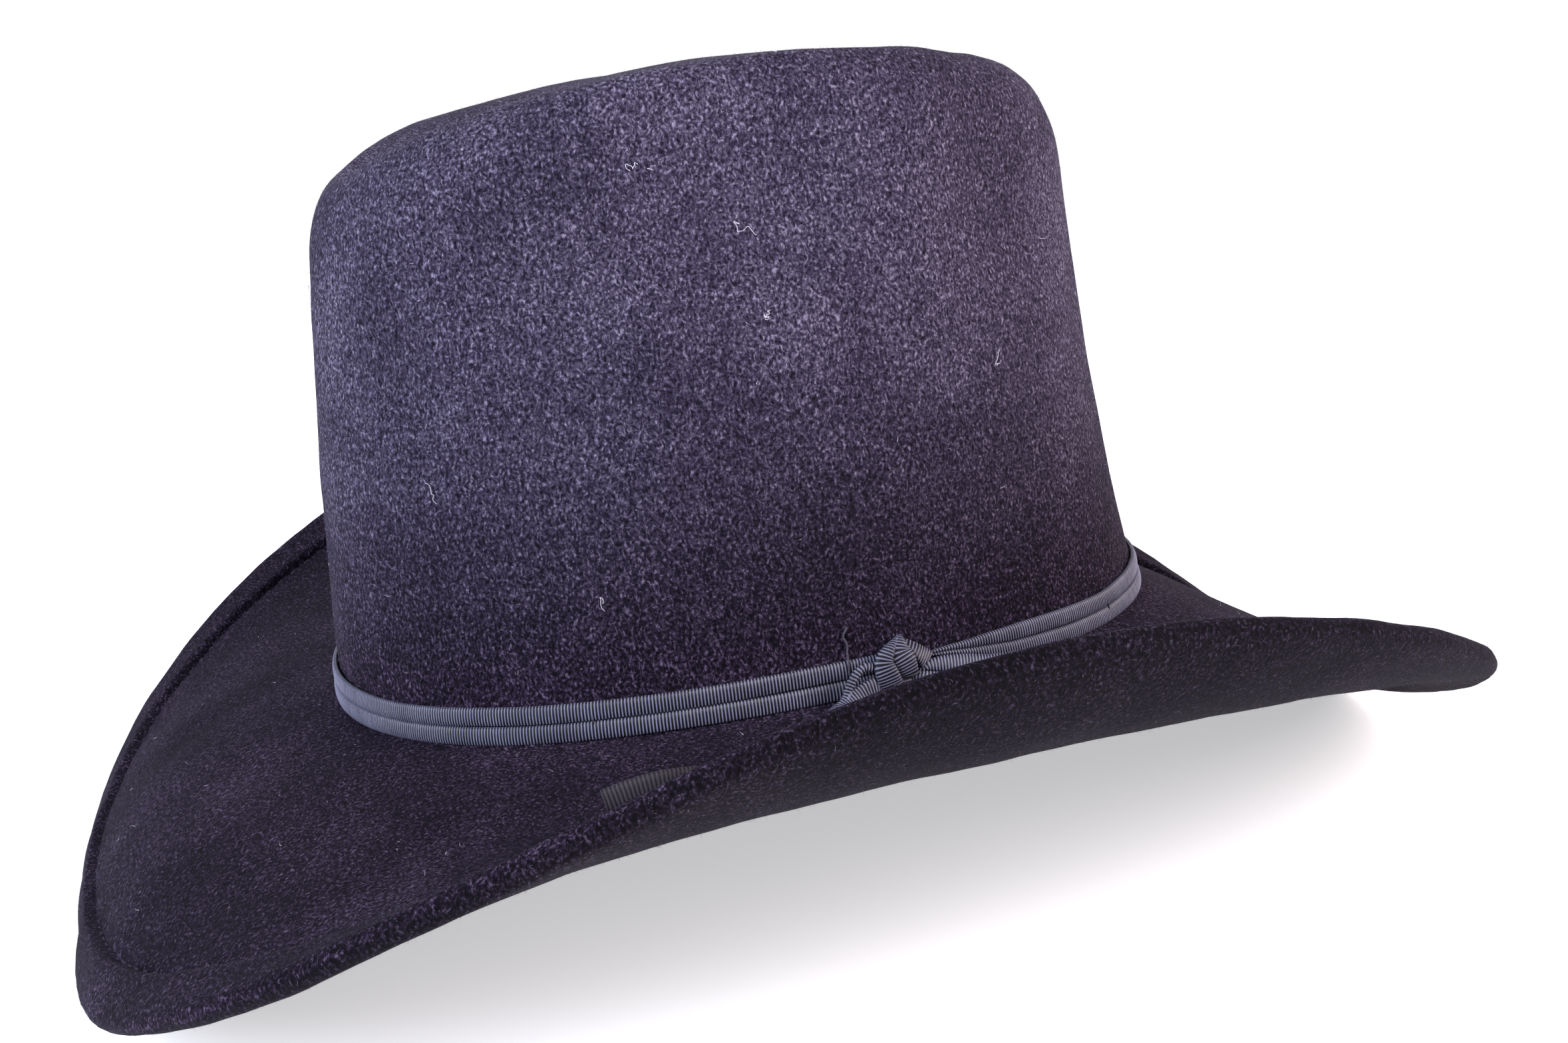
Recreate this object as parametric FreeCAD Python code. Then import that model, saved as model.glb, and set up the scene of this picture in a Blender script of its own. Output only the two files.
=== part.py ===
import FreeCAD, Part
import math
import os

# Western hat. Millimetres. Z is up, the front of the hat is -Y and the wearer's left is +X.
# The origin is the centre of the head opening, level with the line where crown meets brim.
# An angle runs round the hat in degrees: 0 is the front, 90 the wearer's left, 180 the back.

vector = FreeCAD.Vector

# head opening and crown
crownHalfLength = 102.0        # outside of the crown at its base, front to back
crownHalfWidth = 85.5
topHalfLength = 90.6           # same, where the straight wall would reach the crown's top
topHalfWidth = 71.8
baseFullness = 0.049           # above 0 the oval is squarer than an ellipse, below 0 leaner
topFullness = -0.04
crownHeight = 137.5
shoulderDrop = 19.3            # height of the rounded shoulder
shoulderReachLength = 10.4     # how far the shoulder turns inwards, front and back
shoulderReachWidth = 9.6
wallLean = -1.7                # the middle of the wall sits forward by this much
topShift = 0.4
topTilt = 0.008                # the back of the top is higher than the front
topBow = 0.131                 # the top falls away by this share 100 mm from the middle
breakSag = 2.3                 # crown base line: low at front and back, high at the sides
breakTilt = 0.5

# creases of the crown
ridgeRise = 0.8
ridgeOffset = 37.0
ridgeSpread = 15.0
creaseDepth = 19.0
creaseSpread = 15.0
creaseHalfLength = 96.0
sideDent = {"y": -24.0, "z": 116.0, "depth": 8.5, "halfLength": 62.0, "halfHeight": 38.0, "lean": 0.10}
rearDent = {"y": 52.0, "z": 104.0, "depth": 3.0, "halfLength": 30.0, "halfHeight": 28.0, "lean": -0.2}

# brim
brimWidth = 85.9               # mean width, then its change round the hat
brimWidthOnce = 1.3
brimWidthTwice = -4.8
brimRoot = (-11.7, 9.0, -8.3, 0.9)                    # slope beside the crown, degrees, cosine terms
brimEdge = (7.0, -20.3, -67.9, 2.5, -2.7, 1.4)        # slope at the edge, degrees, cosine terms
brimCurl = 2.0                 # power that keeps most of the curl near the edge
felt = 3.0                     # thickness of the felt
weltWidth = 10.9               # the edge is folded over on top by this much
weltRise = 2.2                 # what the folded felt adds in height
outerFillet = 1.2
innerFillet = 6.0

# wire inside the folded edge
wireRadius = 0.8
wireChannel = 0.85
wireInset = 2.2                # from the edge of the middle surface
wireLift = 1.1

# sweatband and lining
sweatbandHeight = 42.0
sweatbandBottom = 1.45         # above the line where crown meets brim
sweatbandInset = 4.3           # outer face, measured in from the outside of the crown
sweatbandLeather = 1.1
reedRadius = 1.15
reedInset = 4.7
reedHeight = 0.1
reedTape = {"bottom": 1.6, "top": 12.0, "inset": 3.5, "cloth": 0.4}
sweatbandStitch = {"height": 5.0, "count": 130, "share": 0.68, "radius": 0.22}
liningInset = 3.3
liningCloth = 0.5
liningBottom = 27.0
liningSeam = 0.90              # station where the side piece meets the tip
shieldInset = 4.0
shieldSheet = 0.4
shieldRim = 1.18               # station of its rim

# ribbon band
strandBottom = 1.75
strandHeight = 3.95
strandGap = 0.12
strandInner = 0.3              # inner face, measured out from the outside of the crown
strandOuter = 1.3
knotAngle = 94.0
knotHalfAngle = 3.4
tailWidth = 4.2
tailThickness = 0.9
tackAngles = (57.5, 131.0, 229.0, 302.5)
weltStitch = {"count": 170, "share": 0.66, "radius": 0.2, "inset": 11.2}

# modelling resolution
columnCount = 72
ringStep = 360.0 / columnCount
patchRings = 3                 # rings of points under one face


def oval(halfLength, halfWidth, fullness, angle):
    c = math.cos(math.radians(angle))
    s = math.sin(math.radians(angle))
    return halfWidth * s * (1 + fullness * c * c), -halfLength * c * (1 + fullness * s * s)


def breakHeight(angle):
    turn = math.radians(angle)
    return -breakSag * math.cos(2 * turn) - breakTilt * math.cos(turn)


def topHeight(y):
    return crownHeight * (1 - topBow * (y / 100) ** 2)


def bump(y, z, dent):
    along = (y - dent["y"]) / dent["halfLength"]
    up = (z - dent["z"] - dent["lean"] * (y - dent["y"])) / dent["halfHeight"]
    reach = along * along + up * up
    return dent["depth"] * (1 - reach) ** 2 if reach < 1 else 0.0


def creaseHeight(x, y):
    fade = max(0.0, 1 - (y / creaseHalfLength) ** 2)
    ridges = ridgeRise * math.exp(-((abs(x) - ridgeOffset) / ridgeSpread) ** 2)
    return ridges * fade - creaseDepth * math.sqrt(fade) * math.exp(-(x / creaseSpread) ** 2)


def crownSkin(angle, station):
    """Outside of the crown: station 0 to 1 climbs the wall and shoulder, 1 to 2 crosses the top."""
    climb = min(station, 1.0)
    if climb < 0.7:
        height = (crownHeight - shoulderDrop) * climb / 0.7
        turn = 0.0
    else:
        bend = (climb - 0.7) / 0.3 * math.pi / 2
        height = crownHeight - shoulderDrop + shoulderDrop * math.sin(bend)
        turn = 1 - math.cos(bend)
    share = height / crownHeight
    fullness = baseFullness + (topFullness - baseFullness) * min(1.0, share * 1.6)
    halfLength = crownHalfLength + (topHalfLength - crownHalfLength) * share - shoulderReachLength * turn
    halfWidth = crownHalfWidth + (topHalfWidth - crownHalfWidth) * share - shoulderReachWidth * turn
    scale = 1.0 if station <= 1 else 2.0 - station
    x, y = oval(halfLength * scale, halfWidth * scale, fullness, angle)
    if station <= 1:
        z = height * topHeight(y) / crownHeight + breakHeight(angle) * (1 - share)
        z += creaseHeight(x, y) * turn * turn
        push = bump(y, z, sideDent) + bump(y, z, rearDent)
        sideways = min(1.0, abs(x) / 30.0)
        x -= math.copysign(push * sideways, x)
    else:
        z = topHeight(y) + creaseHeight(x, y)
        edgePush = (bump(y, z, sideDent) + bump(y, z, rearDent)) * min(1.0, abs(x) / 30.0)
        x -= math.copysign(edgePush * scale ** 6, x)
    y += topShift * share + wallLean * math.sin(math.pi * share)
    z += topTilt * y * share
    return vector(x, y, z)


def surfaceNormal(skin, angle, station, stepAngle, stepStation):
    across = skin(angle + stepAngle, station) - skin(angle - stepAngle, station)
    along = skin(angle, station + stepStation) - skin(angle, station - stepStation)
    normal = across.cross(along)
    return normal.normalize()


def crownPoint(angle, station, inset):
    normal = surfaceNormal(crownSkin, angle, max(0.01, station), 0.5, 0.004)
    return crownSkin(angle, station) - normal * inset


def stationAt(angle, height):
    low = 0.0
    high = 1.0
    base = breakHeight(angle)
    for _ in range(24):
        middle = (low + high) / 2
        if crownSkin(angle, middle).z - base < height:
            low = middle
        else:
            high = middle
    return (low + high) / 2


def cosineSeries(terms, angle):
    turn = math.radians(angle)
    return sum(term * math.cos(order * turn) for order, term in enumerate(terms))


def brimReach(angle):
    return brimWidth + cosineSeries((0.0, brimWidthOnce, brimWidthTwice), angle)


def outward(angle):
    x1, y1 = oval(crownHalfLength, crownHalfWidth, baseFullness, angle - 0.5)
    x2, y2 = oval(crownHalfLength, crownHalfWidth, baseFullness, angle + 0.5)
    length = math.hypot(x2 - x1, y2 - y1)
    return vector((y2 - y1) / length, -(x2 - x1) / length, 0)


def brimMiddle(angle, reach):
    """Middle surface of the brim, reach millimetres out from the crown along the felt."""
    width = brimReach(angle)
    root = cosineSeries(brimRoot, angle)
    edge = cosineSeries(brimEdge, angle)
    steps = 40
    out = 0.0
    up = 0.0
    for step in range(steps):
        share = min(1.0, abs((step + 0.5) / steps * reach / width))
        slope = math.radians(root + (edge - root) * share ** brimCurl)
        out += math.cos(slope) * reach / steps
        up += math.sin(slope) * reach / steps
    x, y = oval(crownHalfLength, crownHalfWidth, baseFullness, angle)
    return vector(x, y, breakHeight(angle) + up) + outward(angle) * out


def brimPoint(angle, reach, lift):
    normal = surfaceNormal(brimMiddle, angle, max(2.0, reach), 0.5, 0.5)
    if normal.z < 0:
        normal = normal * -1
    return brimMiddle(angle, reach) + normal * lift


def blend(first, corner, last, share):
    return first * (1 - share) ** 2 + corner * 2 * share * (1 - share) + last * share ** 2


def periodicRing(points):
    share = [index / len(points) for index in range(len(points) + 1)]
    curve = Part.BSplineCurve()
    curve.interpolate(Points=points, PeriodicFlag=True, Parameters=share)
    return curve


def ringSurface(rings):
    """One smooth surface through closed rings of points, closed round the hat."""
    curves = [periodicRing(ring) for ring in rings]
    spans = [0.0]
    for lower, upper in zip(rings, rings[1:]):
        spans.append(spans[-1] + sum((b - a).Length for a, b in zip(lower, upper)) / len(lower))
    poleColumns = list(zip(*[curve.getPoles() for curve in curves]))
    columns = []
    for column in poleColumns:
        across = Part.BSplineCurve()
        across.interpolate(Points=list(column), Parameters=spans)
        columns.append(across)
    surface = Part.BSplineSurface()
    surface.buildFromPolesMultsKnots(
        [column.getPoles() for column in columns],
        curves[0].getMultiplicities(), columns[0].getMultiplicities(),
        curves[0].getKnots(), columns[0].getKnots(), True, False, 3, 3)
    faces = []
    limits = spans[:-1:patchRings] + spans[-1:]
    for quarter in range(4):
        for low, high in zip(limits, limits[1:]):
            patch = surface.copy()
            patch.segment(quarter / 4, (quarter + 1) / 4, low, high)
            faces.append(patch.toShape())
    return faces


def makeSolid(faces):
    shell = Part.makeShell(faces)
    shell.sewShape(1e-4)
    solid = Part.Solid(Part.Shell(shell.Faces))
    if solid.Volume < 0:
        solid.reverse()
    return solid


def ringFace(first, second):
    return Part.makeRuledSurface(periodicRing(first).toShape(), periodicRing(second).toShape())


def hoop(rings):
    """Closed band: the rings are the corners of its cross-section, in order."""
    return makeSolid([ringFace(a, b) for a, b in zip(rings, rings[1:] + rings[:1])])


def flatCap(ring):
    return Part.Face(Part.Wire([periodicRing(ring).toShape()]))


def levelled(ring):
    height = sum(point.z for point in ring) / len(ring)
    return [vector(point.x, point.y, height) for point in ring]


def roundAbout(place):
    return [place(index * ringStep) for index in range(columnCount)]


def save(shape, node):
    shape.exportStep("parts/" + node + ".step")
    print(node, "solids", len(shape.Solids), "volume", round(shape.Volume, 1), "valid", shape.isValid())


os.makedirs("parts", exist_ok=True)

# ---- felt body: crown, brim and the folded edge are one piece of felt
wallStations = [0.045, 0.10, 0.17, 0.25, 0.33, 0.41, 0.48, 0.54, 0.60, 0.65, 0.70, 0.75, 0.80, 0.86, 0.93]
topStations = [1.0, 1.08, 1.17, 1.27, 1.37, 1.47, 1.57, 1.67, 1.77, 1.87, 1.955]
brimShares = [0.10, 0.17, 0.25, 0.34, 0.43, 0.52, 0.61, 0.69, 0.76]
half = felt / 2
weltProfile = [(14.2, half), (12.4, half), (11.75, half - 0.1), (11.45, half - 0.42), (11.0, half - 0.45),
               (weltWidth - 0.15, half), (weltWidth - 0.4, half + 1.3), (weltWidth - 1.0, half + 2.0),
               (weltWidth - 2.2, half + weltRise), (6.8, half + weltRise), (4.2, half + weltRise)]
edgeRadius = (felt + weltRise) / 2
edgeCentre = 1.4
edgeTurn = [75, 45, 15, -15, -45, -75]
underProfile = [(3.5, -half), (7.0, -half), (11.0, -half)]

feltRings = []
for station in reversed(topStations):
    feltRings.append(roundAbout(lambda angle: crownSkin(angle, station)))
for station in reversed(wallStations):
    feltRings.append(roundAbout(lambda angle: crownSkin(angle, station)))


def outerCorner(angle, share):
    high = crownSkin(angle, stationAt(angle, half + outerFillet))
    low = brimPoint(angle, outerFillet, half)
    corner = crownSkin(angle, 0.0) + vector(0, 0, half)
    return blend(high, corner, low, share)


def innerCorner(angle, share):
    low = brimPoint(angle, innerFillet, -half)
    high = crownPoint(angle, stationAt(angle, innerFillet), felt)
    corner = crownPoint(angle, 0.012, felt) - vector(0, 0, half)
    return blend(low, corner, high, share)


for share in (0.0, 0.3, 0.5, 0.7, 1.0):
    feltRings.append(roundAbout(lambda angle: outerCorner(angle, share)))
for share in brimShares:
    feltRings.append(roundAbout(lambda angle: brimPoint(angle, brimReach(angle) * share, half)))
for inset, lift in weltProfile:
    feltRings.append(roundAbout(lambda angle: brimPoint(angle, brimReach(angle) - inset, lift)))
for turn in edgeTurn:
    aside = edgeCentre - edgeRadius * math.cos(math.radians(turn))
    lift = weltRise / 2 + edgeRadius * math.sin(math.radians(turn))
    feltRings.append(roundAbout(lambda angle: brimPoint(angle, brimReach(angle) - aside, lift)))
for inset, lift in underProfile:
    feltRings.append(roundAbout(lambda angle: brimPoint(angle, brimReach(angle) - inset, lift)))
for share in reversed(brimShares[1:]):
    feltRings.append(roundAbout(lambda angle: brimPoint(angle, brimReach(angle) * share, -half)))
for share in (0.0, 0.3, 0.5, 0.7, 1.0):
    feltRings.append(roundAbout(lambda angle: innerCorner(angle, share)))
for station in wallStations[1:]:
    feltRings.append(roundAbout(lambda angle: crownPoint(angle, station, felt)))
for station in topStations:
    feltRings.append(roundAbout(lambda angle: crownPoint(angle, station, felt)))
feltRings[0] = levelled(feltRings[0])
feltRings[-1] = levelled(feltRings[-1])
feltSkin = ringSurface(feltRings)
feltBody = makeSolid(feltSkin + [flatCap(feltRings[0]), flatCap(feltRings[-1])])


def tube(place, radius, sides):
    """Round cord that follows a closed line; place gives its centre for an angle."""
    def corner(angle, turn):
        centre = place(angle)
        ahead = (place(angle + 1.0) - place(angle - 1.0)).normalize()
        aside = ahead.cross(vector(0, 0, 1)).normalize()
        up = aside.cross(ahead)
        return centre + aside * (radius * math.cos(turn)) + up * (radius * math.sin(turn))
    return hoop([roundAbout(lambda angle: corner(angle, 2 * math.pi * side / sides)) for side in range(sides)])


def wireLine(angle):
    return brimPoint(angle, brimReach(angle) - wireInset, wireLift)


channel = tube(wireLine, wireChannel, 10)
feltBody = feltBody.cut(channel)
save(feltBody, "felt_body")
save(tube(wireLine, wireRadius, 10), "brim_wire")


# ---- thread that holds the folded edge down
def seamLine(angle):
    return brimPoint(angle, brimReach(angle) - weltStitch["inset"], half - 0.45 + weltStitch["radius"])


def stitches(line, count, share, radius):
    """A round of straight stitches along a closed line."""
    pieces = []
    for index in range(count):
        first = line(360.0 * index / count)
        last = line(360.0 * (index + share) / count)
        pieces.append(Part.makeCylinder(radius, (last - first).Length, first, last - first))
    return Part.makeCompound(pieces)


save(stitches(seamLine, weltStitch["count"], weltStitch["share"], weltStitch["radius"]), "welt_seam_thread")


# ---- inside of the crown
def wallAt(angle, height, out):
    return crownPoint(angle, stationAt(angle, height), -out)


def layer(lineOf, steps, outer, inner, closedTop):
    """Sheet that follows the crown between two depths; lineOf gives a point for angle, step and depth."""
    outside = [roundAbout(lambda angle: lineOf(angle, step, outer)) for step in steps]
    inside = [roundAbout(lambda angle: lineOf(angle, step, inner)) for step in steps]
    ends = [ringFace(outside[0], inside[0])]
    if closedTop:
        outside[-1] = levelled(outside[-1])
        inside[-1] = levelled(inside[-1])
        ends += [flatCap(outside[-1]), flatCap(inside[-1])]
    else:
        ends.append(ringFace(outside[-1], inside[-1]))
    return makeSolid(ringSurface(outside) + ringSurface(inside) + ends)


def byHeight(angle, height, inset):
    return wallAt(angle, height, -inset)


leatherInner = sweatbandInset + sweatbandLeather
leatherSteps = [sweatbandBottom + (sweatbandHeight - sweatbandBottom) * step / 6 for step in range(7)]
save(layer(byHeight, leatherSteps, sweatbandInset, leatherInner, False), "sweatband")
save(tube(lambda angle: byHeight(angle, reedHeight, reedInset), reedRadius, 10), "sweatband_reed")
tapeSteps = [reedTape["bottom"] + (reedTape["top"] - reedTape["bottom"]) * step / 3 for step in range(4)]
save(layer(byHeight, tapeSteps, reedTape["inset"], reedTape["inset"] + reedTape["cloth"], False), "reed_tape")


def sweatbandSeam(angle):
    return byHeight(angle, sweatbandStitch["height"], leatherInner + sweatbandStitch["radius"] + 0.02)


save(stitches(sweatbandSeam, sweatbandStitch["count"], sweatbandStitch["share"], sweatbandStitch["radius"]),
     "sweatband_stitching")

sideSteps = [stationAt(90.0, liningBottom)] + [step for step in wallStations if 0.2 < step < liningSeam]
save(layer(crownPoint, sideSteps + [liningSeam - 0.015], liningInset, liningInset + liningCloth, False),
     "lining_side_band")
tipSteps = [liningSeam, 0.93] + topStations
save(layer(crownPoint, tipSteps, liningInset, liningInset + liningCloth, True), "lining_tip")
shieldSteps = [shieldRim] + [step for step in topStations if step > shieldRim]
save(layer(crownPoint, shieldSteps, shieldInset, shieldInset + shieldSheet, True), "tip_shield")


# ---- little ribbon bow at the back of the sweatband
def bowFrame(angle, height, lift):
    centre = byHeight(angle, height, leatherInner + lift)
    along = (byHeight(angle + 1, height, leatherInner) - byHeight(angle - 1, height, leatherInner)).normalize()
    up = vector(0, 0, 1)
    return centre, along, up, up.cross(along)


def prism(frame, outline, depth):
    centre, along, up, inward = frame
    corners = [centre + along * a + up * b for a, b in outline]
    return Part.Face(Part.makePolygon(corners + corners[:1])).extrude(inward * depth)


def ellipseOutline(halfAlong, halfUp, shift, count):
    turns = [2 * math.pi * index / count for index in range(count)]
    return [(shift + halfAlong * math.cos(turn), halfUp * math.sin(turn)) for turn in turns]


bow = prism(bowFrame(180.0, 9.0, 0.15), [(-2, -2), (2, -2), (2, 2), (-2, 2)], 2.6)
for side in (-1, 1):
    place = bowFrame(180.0 + side * 5.0, 9.0, 0.25)
    loop = prism(place, ellipseOutline(5.4, 3.0, 0.0, 20), 1.8)
    loop = loop.cut(prism(place, ellipseOutline(3.6, 1.5, 0.0, 20), 1.8))
    bow = bow.fuse(loop)
    tail = [(side * 1.0, -1.5), (side * 4.2, -1.5), (side * 7.0, -7.0), (side * 3.8, -7.0)]
    bow = bow.fuse(prism(bowFrame(180.0, 9.0, 0.55), tail, 1.0))
save(bow.removeSplitter(), "sweatband_bow")


# ---- ribbon band round the crown: two narrow ribbons side by side
def strand(bottom):
    top = bottom + strandHeight
    middle = (bottom + top) / 2
    corners = [(bottom + 0.35, strandInner), (bottom, strandInner + 0.3), (bottom, strandOuter - 0.4),
               (bottom + 0.5, strandOuter - 0.1), (middle, strandOuter), (top - 0.5, strandOuter - 0.1),
               (top, strandOuter - 0.4), (top, strandInner + 0.3), (top - 0.35, strandInner)]
    return hoop([roundAbout(lambda angle: wallAt(angle, height, out)) for height, out in corners])


upperBottom = strandBottom + strandHeight + strandGap
strandTop = upperBottom + strandHeight
save(strand(strandBottom), "hatband_lower_ribbon")
save(strand(upperBottom), "hatband_upper_ribbon")

# ---- knot: laps over the top of both ribbons
knotSection = [(1.75, strandOuter + 0.15), (1.75, 4.4), (3.2, 5.9), (7.2, 6.3), (10.0, 5.1), (11.6, 3.1),
               (11.9, 0.25), (strandTop + 0.2, 0.25), (strandTop + 0.15, strandOuter + 0.15)]
knotStations = [(-1.0, 0.62), (-0.75, 0.88), (-0.3, 1.0), (0.3, 1.0), (0.75, 0.88), (1.0, 0.62)]
knotHeading = (wallAt(knotAngle + 1, 5.0, 0) - wallAt(knotAngle - 1, 5.0, 0)).normalize()
knotBack = strandOuter + 0.15
sections = []
for place, fullness in knotStations:
    angle = knotAngle + place * knotHalfAngle
    foot = wallAt(angle, 5.0, 0)
    section = []
    for height, out in knotSection:
        far = out if out <= knotBack else knotBack + (out - knotBack) * fullness
        corner = wallAt(angle, height, far)
        section.append(corner - knotHeading * (corner - foot).dot(knotHeading))
    sections.append(Part.makePolygon(section + section[:1]))
save(Part.makeLoft(sections, True, True), "hatband_knot")


# ---- free ends of the tied ribbon
def ribbonEnd(places, width, thickness):
    """Flat ribbon through centre points, each with the direction of its width."""
    lines = [[], [], [], []]
    count = len(places)
    for index, (centre, across) in enumerate(places):
        ahead = places[min(index + 1, count - 1)][0] - places[max(index - 1, 0)][0]
        normal = ahead.cross(across).normalize()
        side = normal.cross(ahead).normalize()
        for line, (a, b) in zip(lines, ((-1, -1), (1, -1), (1, 1), (-1, 1))):
            line.append(centre + side * (a * width / 2) + normal * (b * thickness / 2))
    edges = []
    for line in lines:
        curve = Part.BSplineCurve()
        curve.interpolate(Points=line)
        edges.append(curve.toShape())
    faces = [Part.makeRuledSurface(a, b) for a, b in zip(edges, edges[1:] + edges[:1])]
    for end in (0, -1):
        corners = [line[end] for line in lines]
        faces.append(Part.makeFilledFace(Part.makePolygon(corners + corners[:1]).Edges))
    return makeSolid(faces)


def onBrim(angle, reach, lift):
    return brimPoint(angle, reach, half + lift)


def acrossBrim(angle, reach):
    return onBrim(angle, reach + 1, 0) - onBrim(angle, reach - 1, 0)


upright = vector(0, 0, 1)
frontPath = [(wallAt(89.6, 5.6, 3.4), upright), (wallAt(87.6, 4.7, 5.0), vector(0.35, 0, 1)),
             (onBrim(85.0, 8.5, 2.3), vector(0.8, 0.3, 0.6))]
for angle, reach, lift in ((82.0, 15.0, 1.7), (78.5, 25.0, 1.5), (75.5, 37.0, 1.5), (73.5, 49.0, 1.8)):
    frontPath.append((onBrim(angle, reach, lift), vector(0.75, 0.65, 0)))
edgeSide = vector(-0.25, 0.1, 1)
for angle, inset, lift in ((71.8, 22.0, 3.0), (70.3, 14.5, 4.6), (68.4, 10.5, 5.2), (66.7, 9.0, 5.4), (65.0, 8.5, 5.4)):
    frontPath.append((onBrim(angle, brimReach(angle) - inset, lift), edgeSide))
save(ribbonEnd(frontPath, tailWidth, tailThickness), "hatband_tail_front")

backPath = [(wallAt(97.3, 5.6, 3.2), upright), (wallAt(99.5, 5.2, 3.9), upright),
            (wallAt(102.5, 4.8, 4.8), vector(0.1, 0, 1)), (wallAt(106.0, 4.4, 5.8), vector(0.2, 0, 1)),
            (wallAt(110.0, 3.9, 6.8), vector(0.3, 0, 1)), (wallAt(114.0, 3.5, 7.6), vector(0.35, 0, 1))]
save(ribbonEnd(backPath, tailWidth, tailThickness), "hatband_tail_back")
loopPath = [(wallAt(96.6, 3.0, 7.2), vector(0.9, 0, 0.4)), (wallAt(98.5, 2.9, 8.2), vector(0.9, 0, 0.35)),
            (wallAt(101.0, 2.6, 9.4), vector(0.95, 0, 0.3)), (wallAt(104.0, 2.4, 10.4), vector(1, 0, 0.3))]
save(ribbonEnd(loopPath, tailWidth - 0.6, tailThickness), "hatband_short_end")

# ---- thread tacks over the two ribbons and one loose thread end
tackRadius = 0.2
tacks = []
for angle in tackAngles:
    low = wallAt(angle, upperBottom - 1.3, strandOuter + tackRadius)
    high = wallAt(angle, upperBottom + 1.2, strandOuter + tackRadius)
    tacks.append(Part.makeCylinder(tackRadius, (high - low).Length, low, high - low))
save(Part.makeCompound(tacks), "hatband_tacks")

threadPoints = [(88.0, 7.4, 1.6), (87.9, 9.4, 1.6), (88.1, 11.4, 1.1), (87.7, 13.4, 0.8), (87.9, 15.2, 0.6),
                (87.5, 16.9, 0.8)]
curve = Part.BSplineCurve()
curve.interpolate(Points=[wallAt(*place) for place in threadPoints])
spine = Part.Wire([curve.toShape()])
start = curve.value(curve.FirstParameter)
heading = curve.tangent(curve.FirstParameter)[0]
rim = Part.Wire([Part.makeCircle(0.2, start, heading)])
save(spine.makePipeShell([rim], True, True), "loose_thread")
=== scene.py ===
import bpy
import bmesh
import math
import numpy as np
from mathutils import Matrix, Vector, noise


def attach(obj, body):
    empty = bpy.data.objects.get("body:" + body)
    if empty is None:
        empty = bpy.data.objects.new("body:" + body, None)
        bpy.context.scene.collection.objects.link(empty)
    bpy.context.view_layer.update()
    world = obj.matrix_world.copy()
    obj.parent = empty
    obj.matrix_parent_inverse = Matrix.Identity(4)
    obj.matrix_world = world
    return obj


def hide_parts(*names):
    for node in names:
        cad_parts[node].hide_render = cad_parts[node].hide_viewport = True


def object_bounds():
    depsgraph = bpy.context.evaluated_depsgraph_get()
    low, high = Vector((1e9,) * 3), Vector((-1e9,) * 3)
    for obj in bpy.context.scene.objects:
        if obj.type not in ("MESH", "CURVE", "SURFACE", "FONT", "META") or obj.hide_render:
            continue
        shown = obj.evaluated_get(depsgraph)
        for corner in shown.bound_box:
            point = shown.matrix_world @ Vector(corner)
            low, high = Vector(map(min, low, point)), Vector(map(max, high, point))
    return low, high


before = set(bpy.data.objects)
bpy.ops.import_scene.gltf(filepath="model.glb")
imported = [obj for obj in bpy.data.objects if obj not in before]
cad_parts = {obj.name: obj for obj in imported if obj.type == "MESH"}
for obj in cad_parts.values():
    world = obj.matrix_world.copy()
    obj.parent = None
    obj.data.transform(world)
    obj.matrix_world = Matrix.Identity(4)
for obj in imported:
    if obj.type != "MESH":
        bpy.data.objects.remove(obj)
cadLow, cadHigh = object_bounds()
noise.seed_set(41)  # the same waves and lint on every run
print("frame loaded")

mm = 0.001  # the hat is worked out in millimetres

# the hat's own shape: -Y is its front, +X the wearer's left, 0 degrees the front and 90 the left
crown = {
    "halfLength": 102.0, "halfWidth": 85.5, "topHalfLength": 90.6, "topHalfWidth": 71.8,
    "baseFullness": 0.049, "topFullness": -0.04, "height": 137.5, "shoulderDrop": 19.3,
    "shoulderReachLength": 10.4, "shoulderReachWidth": 9.6, "wallLean": -1.7, "topShift": 0.4, "topTilt": 0.008,
    "topBow": 0.131,
    "breakSag": 2.3, "breakTilt": 0.5,
}
creases = {
    "ridgeRise": 0.8, "ridgeOffset": 37.0, "ridgeSpread": 15.0, "depth": 19.0, "spread": 15.0, "halfLength": 96.0,
    "side": {"y": -24.0, "z": 116.0, "depth": 8.5, "halfLength": 62.0, "halfHeight": 38.0, "lean": 0.10},
    "rear": {"y": 52.0, "z": 104.0, "depth": 3.0, "halfLength": 30.0, "halfHeight": 28.0, "lean": -0.2},
}
brim = {
    "width": (85.9, 1.3, -4.8), "root": (-11.7, 9.0, -8.3, 0.9), "edge": (7.0, -20.3, -67.9, 2.5, -2.7, 1.4),
    "curl": 2.0, "felt": 3.0, "weltWidth": 10.9, "weltRise": 2.2, "outerFillet": 1.2, "innerFillet": 6.0,
}


# the hat's shape is worked out for a whole ring of angles at once
def oval(halfLength, halfWidth, fullness, turn):
    c, s = np.cos(turn), np.sin(turn)
    return halfWidth * s * (1 + fullness * c * c), -halfLength * c * (1 + fullness * s * s)


def breakHeight(turn):
    return -crown["breakSag"] * np.cos(2 * turn) - crown["breakTilt"] * np.cos(turn)


def bump(y, z, dent):
    along = (y - dent["y"]) / dent["halfLength"]
    up = (z - dent["z"] - dent["lean"] * (y - dent["y"])) / dent["halfHeight"]
    reach = np.minimum(along * along + up * up, 1.0)
    return dent["depth"] * (1 - reach) ** 2


def creaseHeight(x, y):
    fade = np.maximum(0.0, 1 - (y / creases["halfLength"]) ** 2)
    ridges = creases["ridgeRise"] * np.exp(-((np.abs(x) - creases["ridgeOffset"]) / creases["ridgeSpread"]) ** 2)
    return ridges * fade - creases["depth"] * np.sqrt(fade) * np.exp(-(x / creases["spread"]) ** 2)


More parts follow.
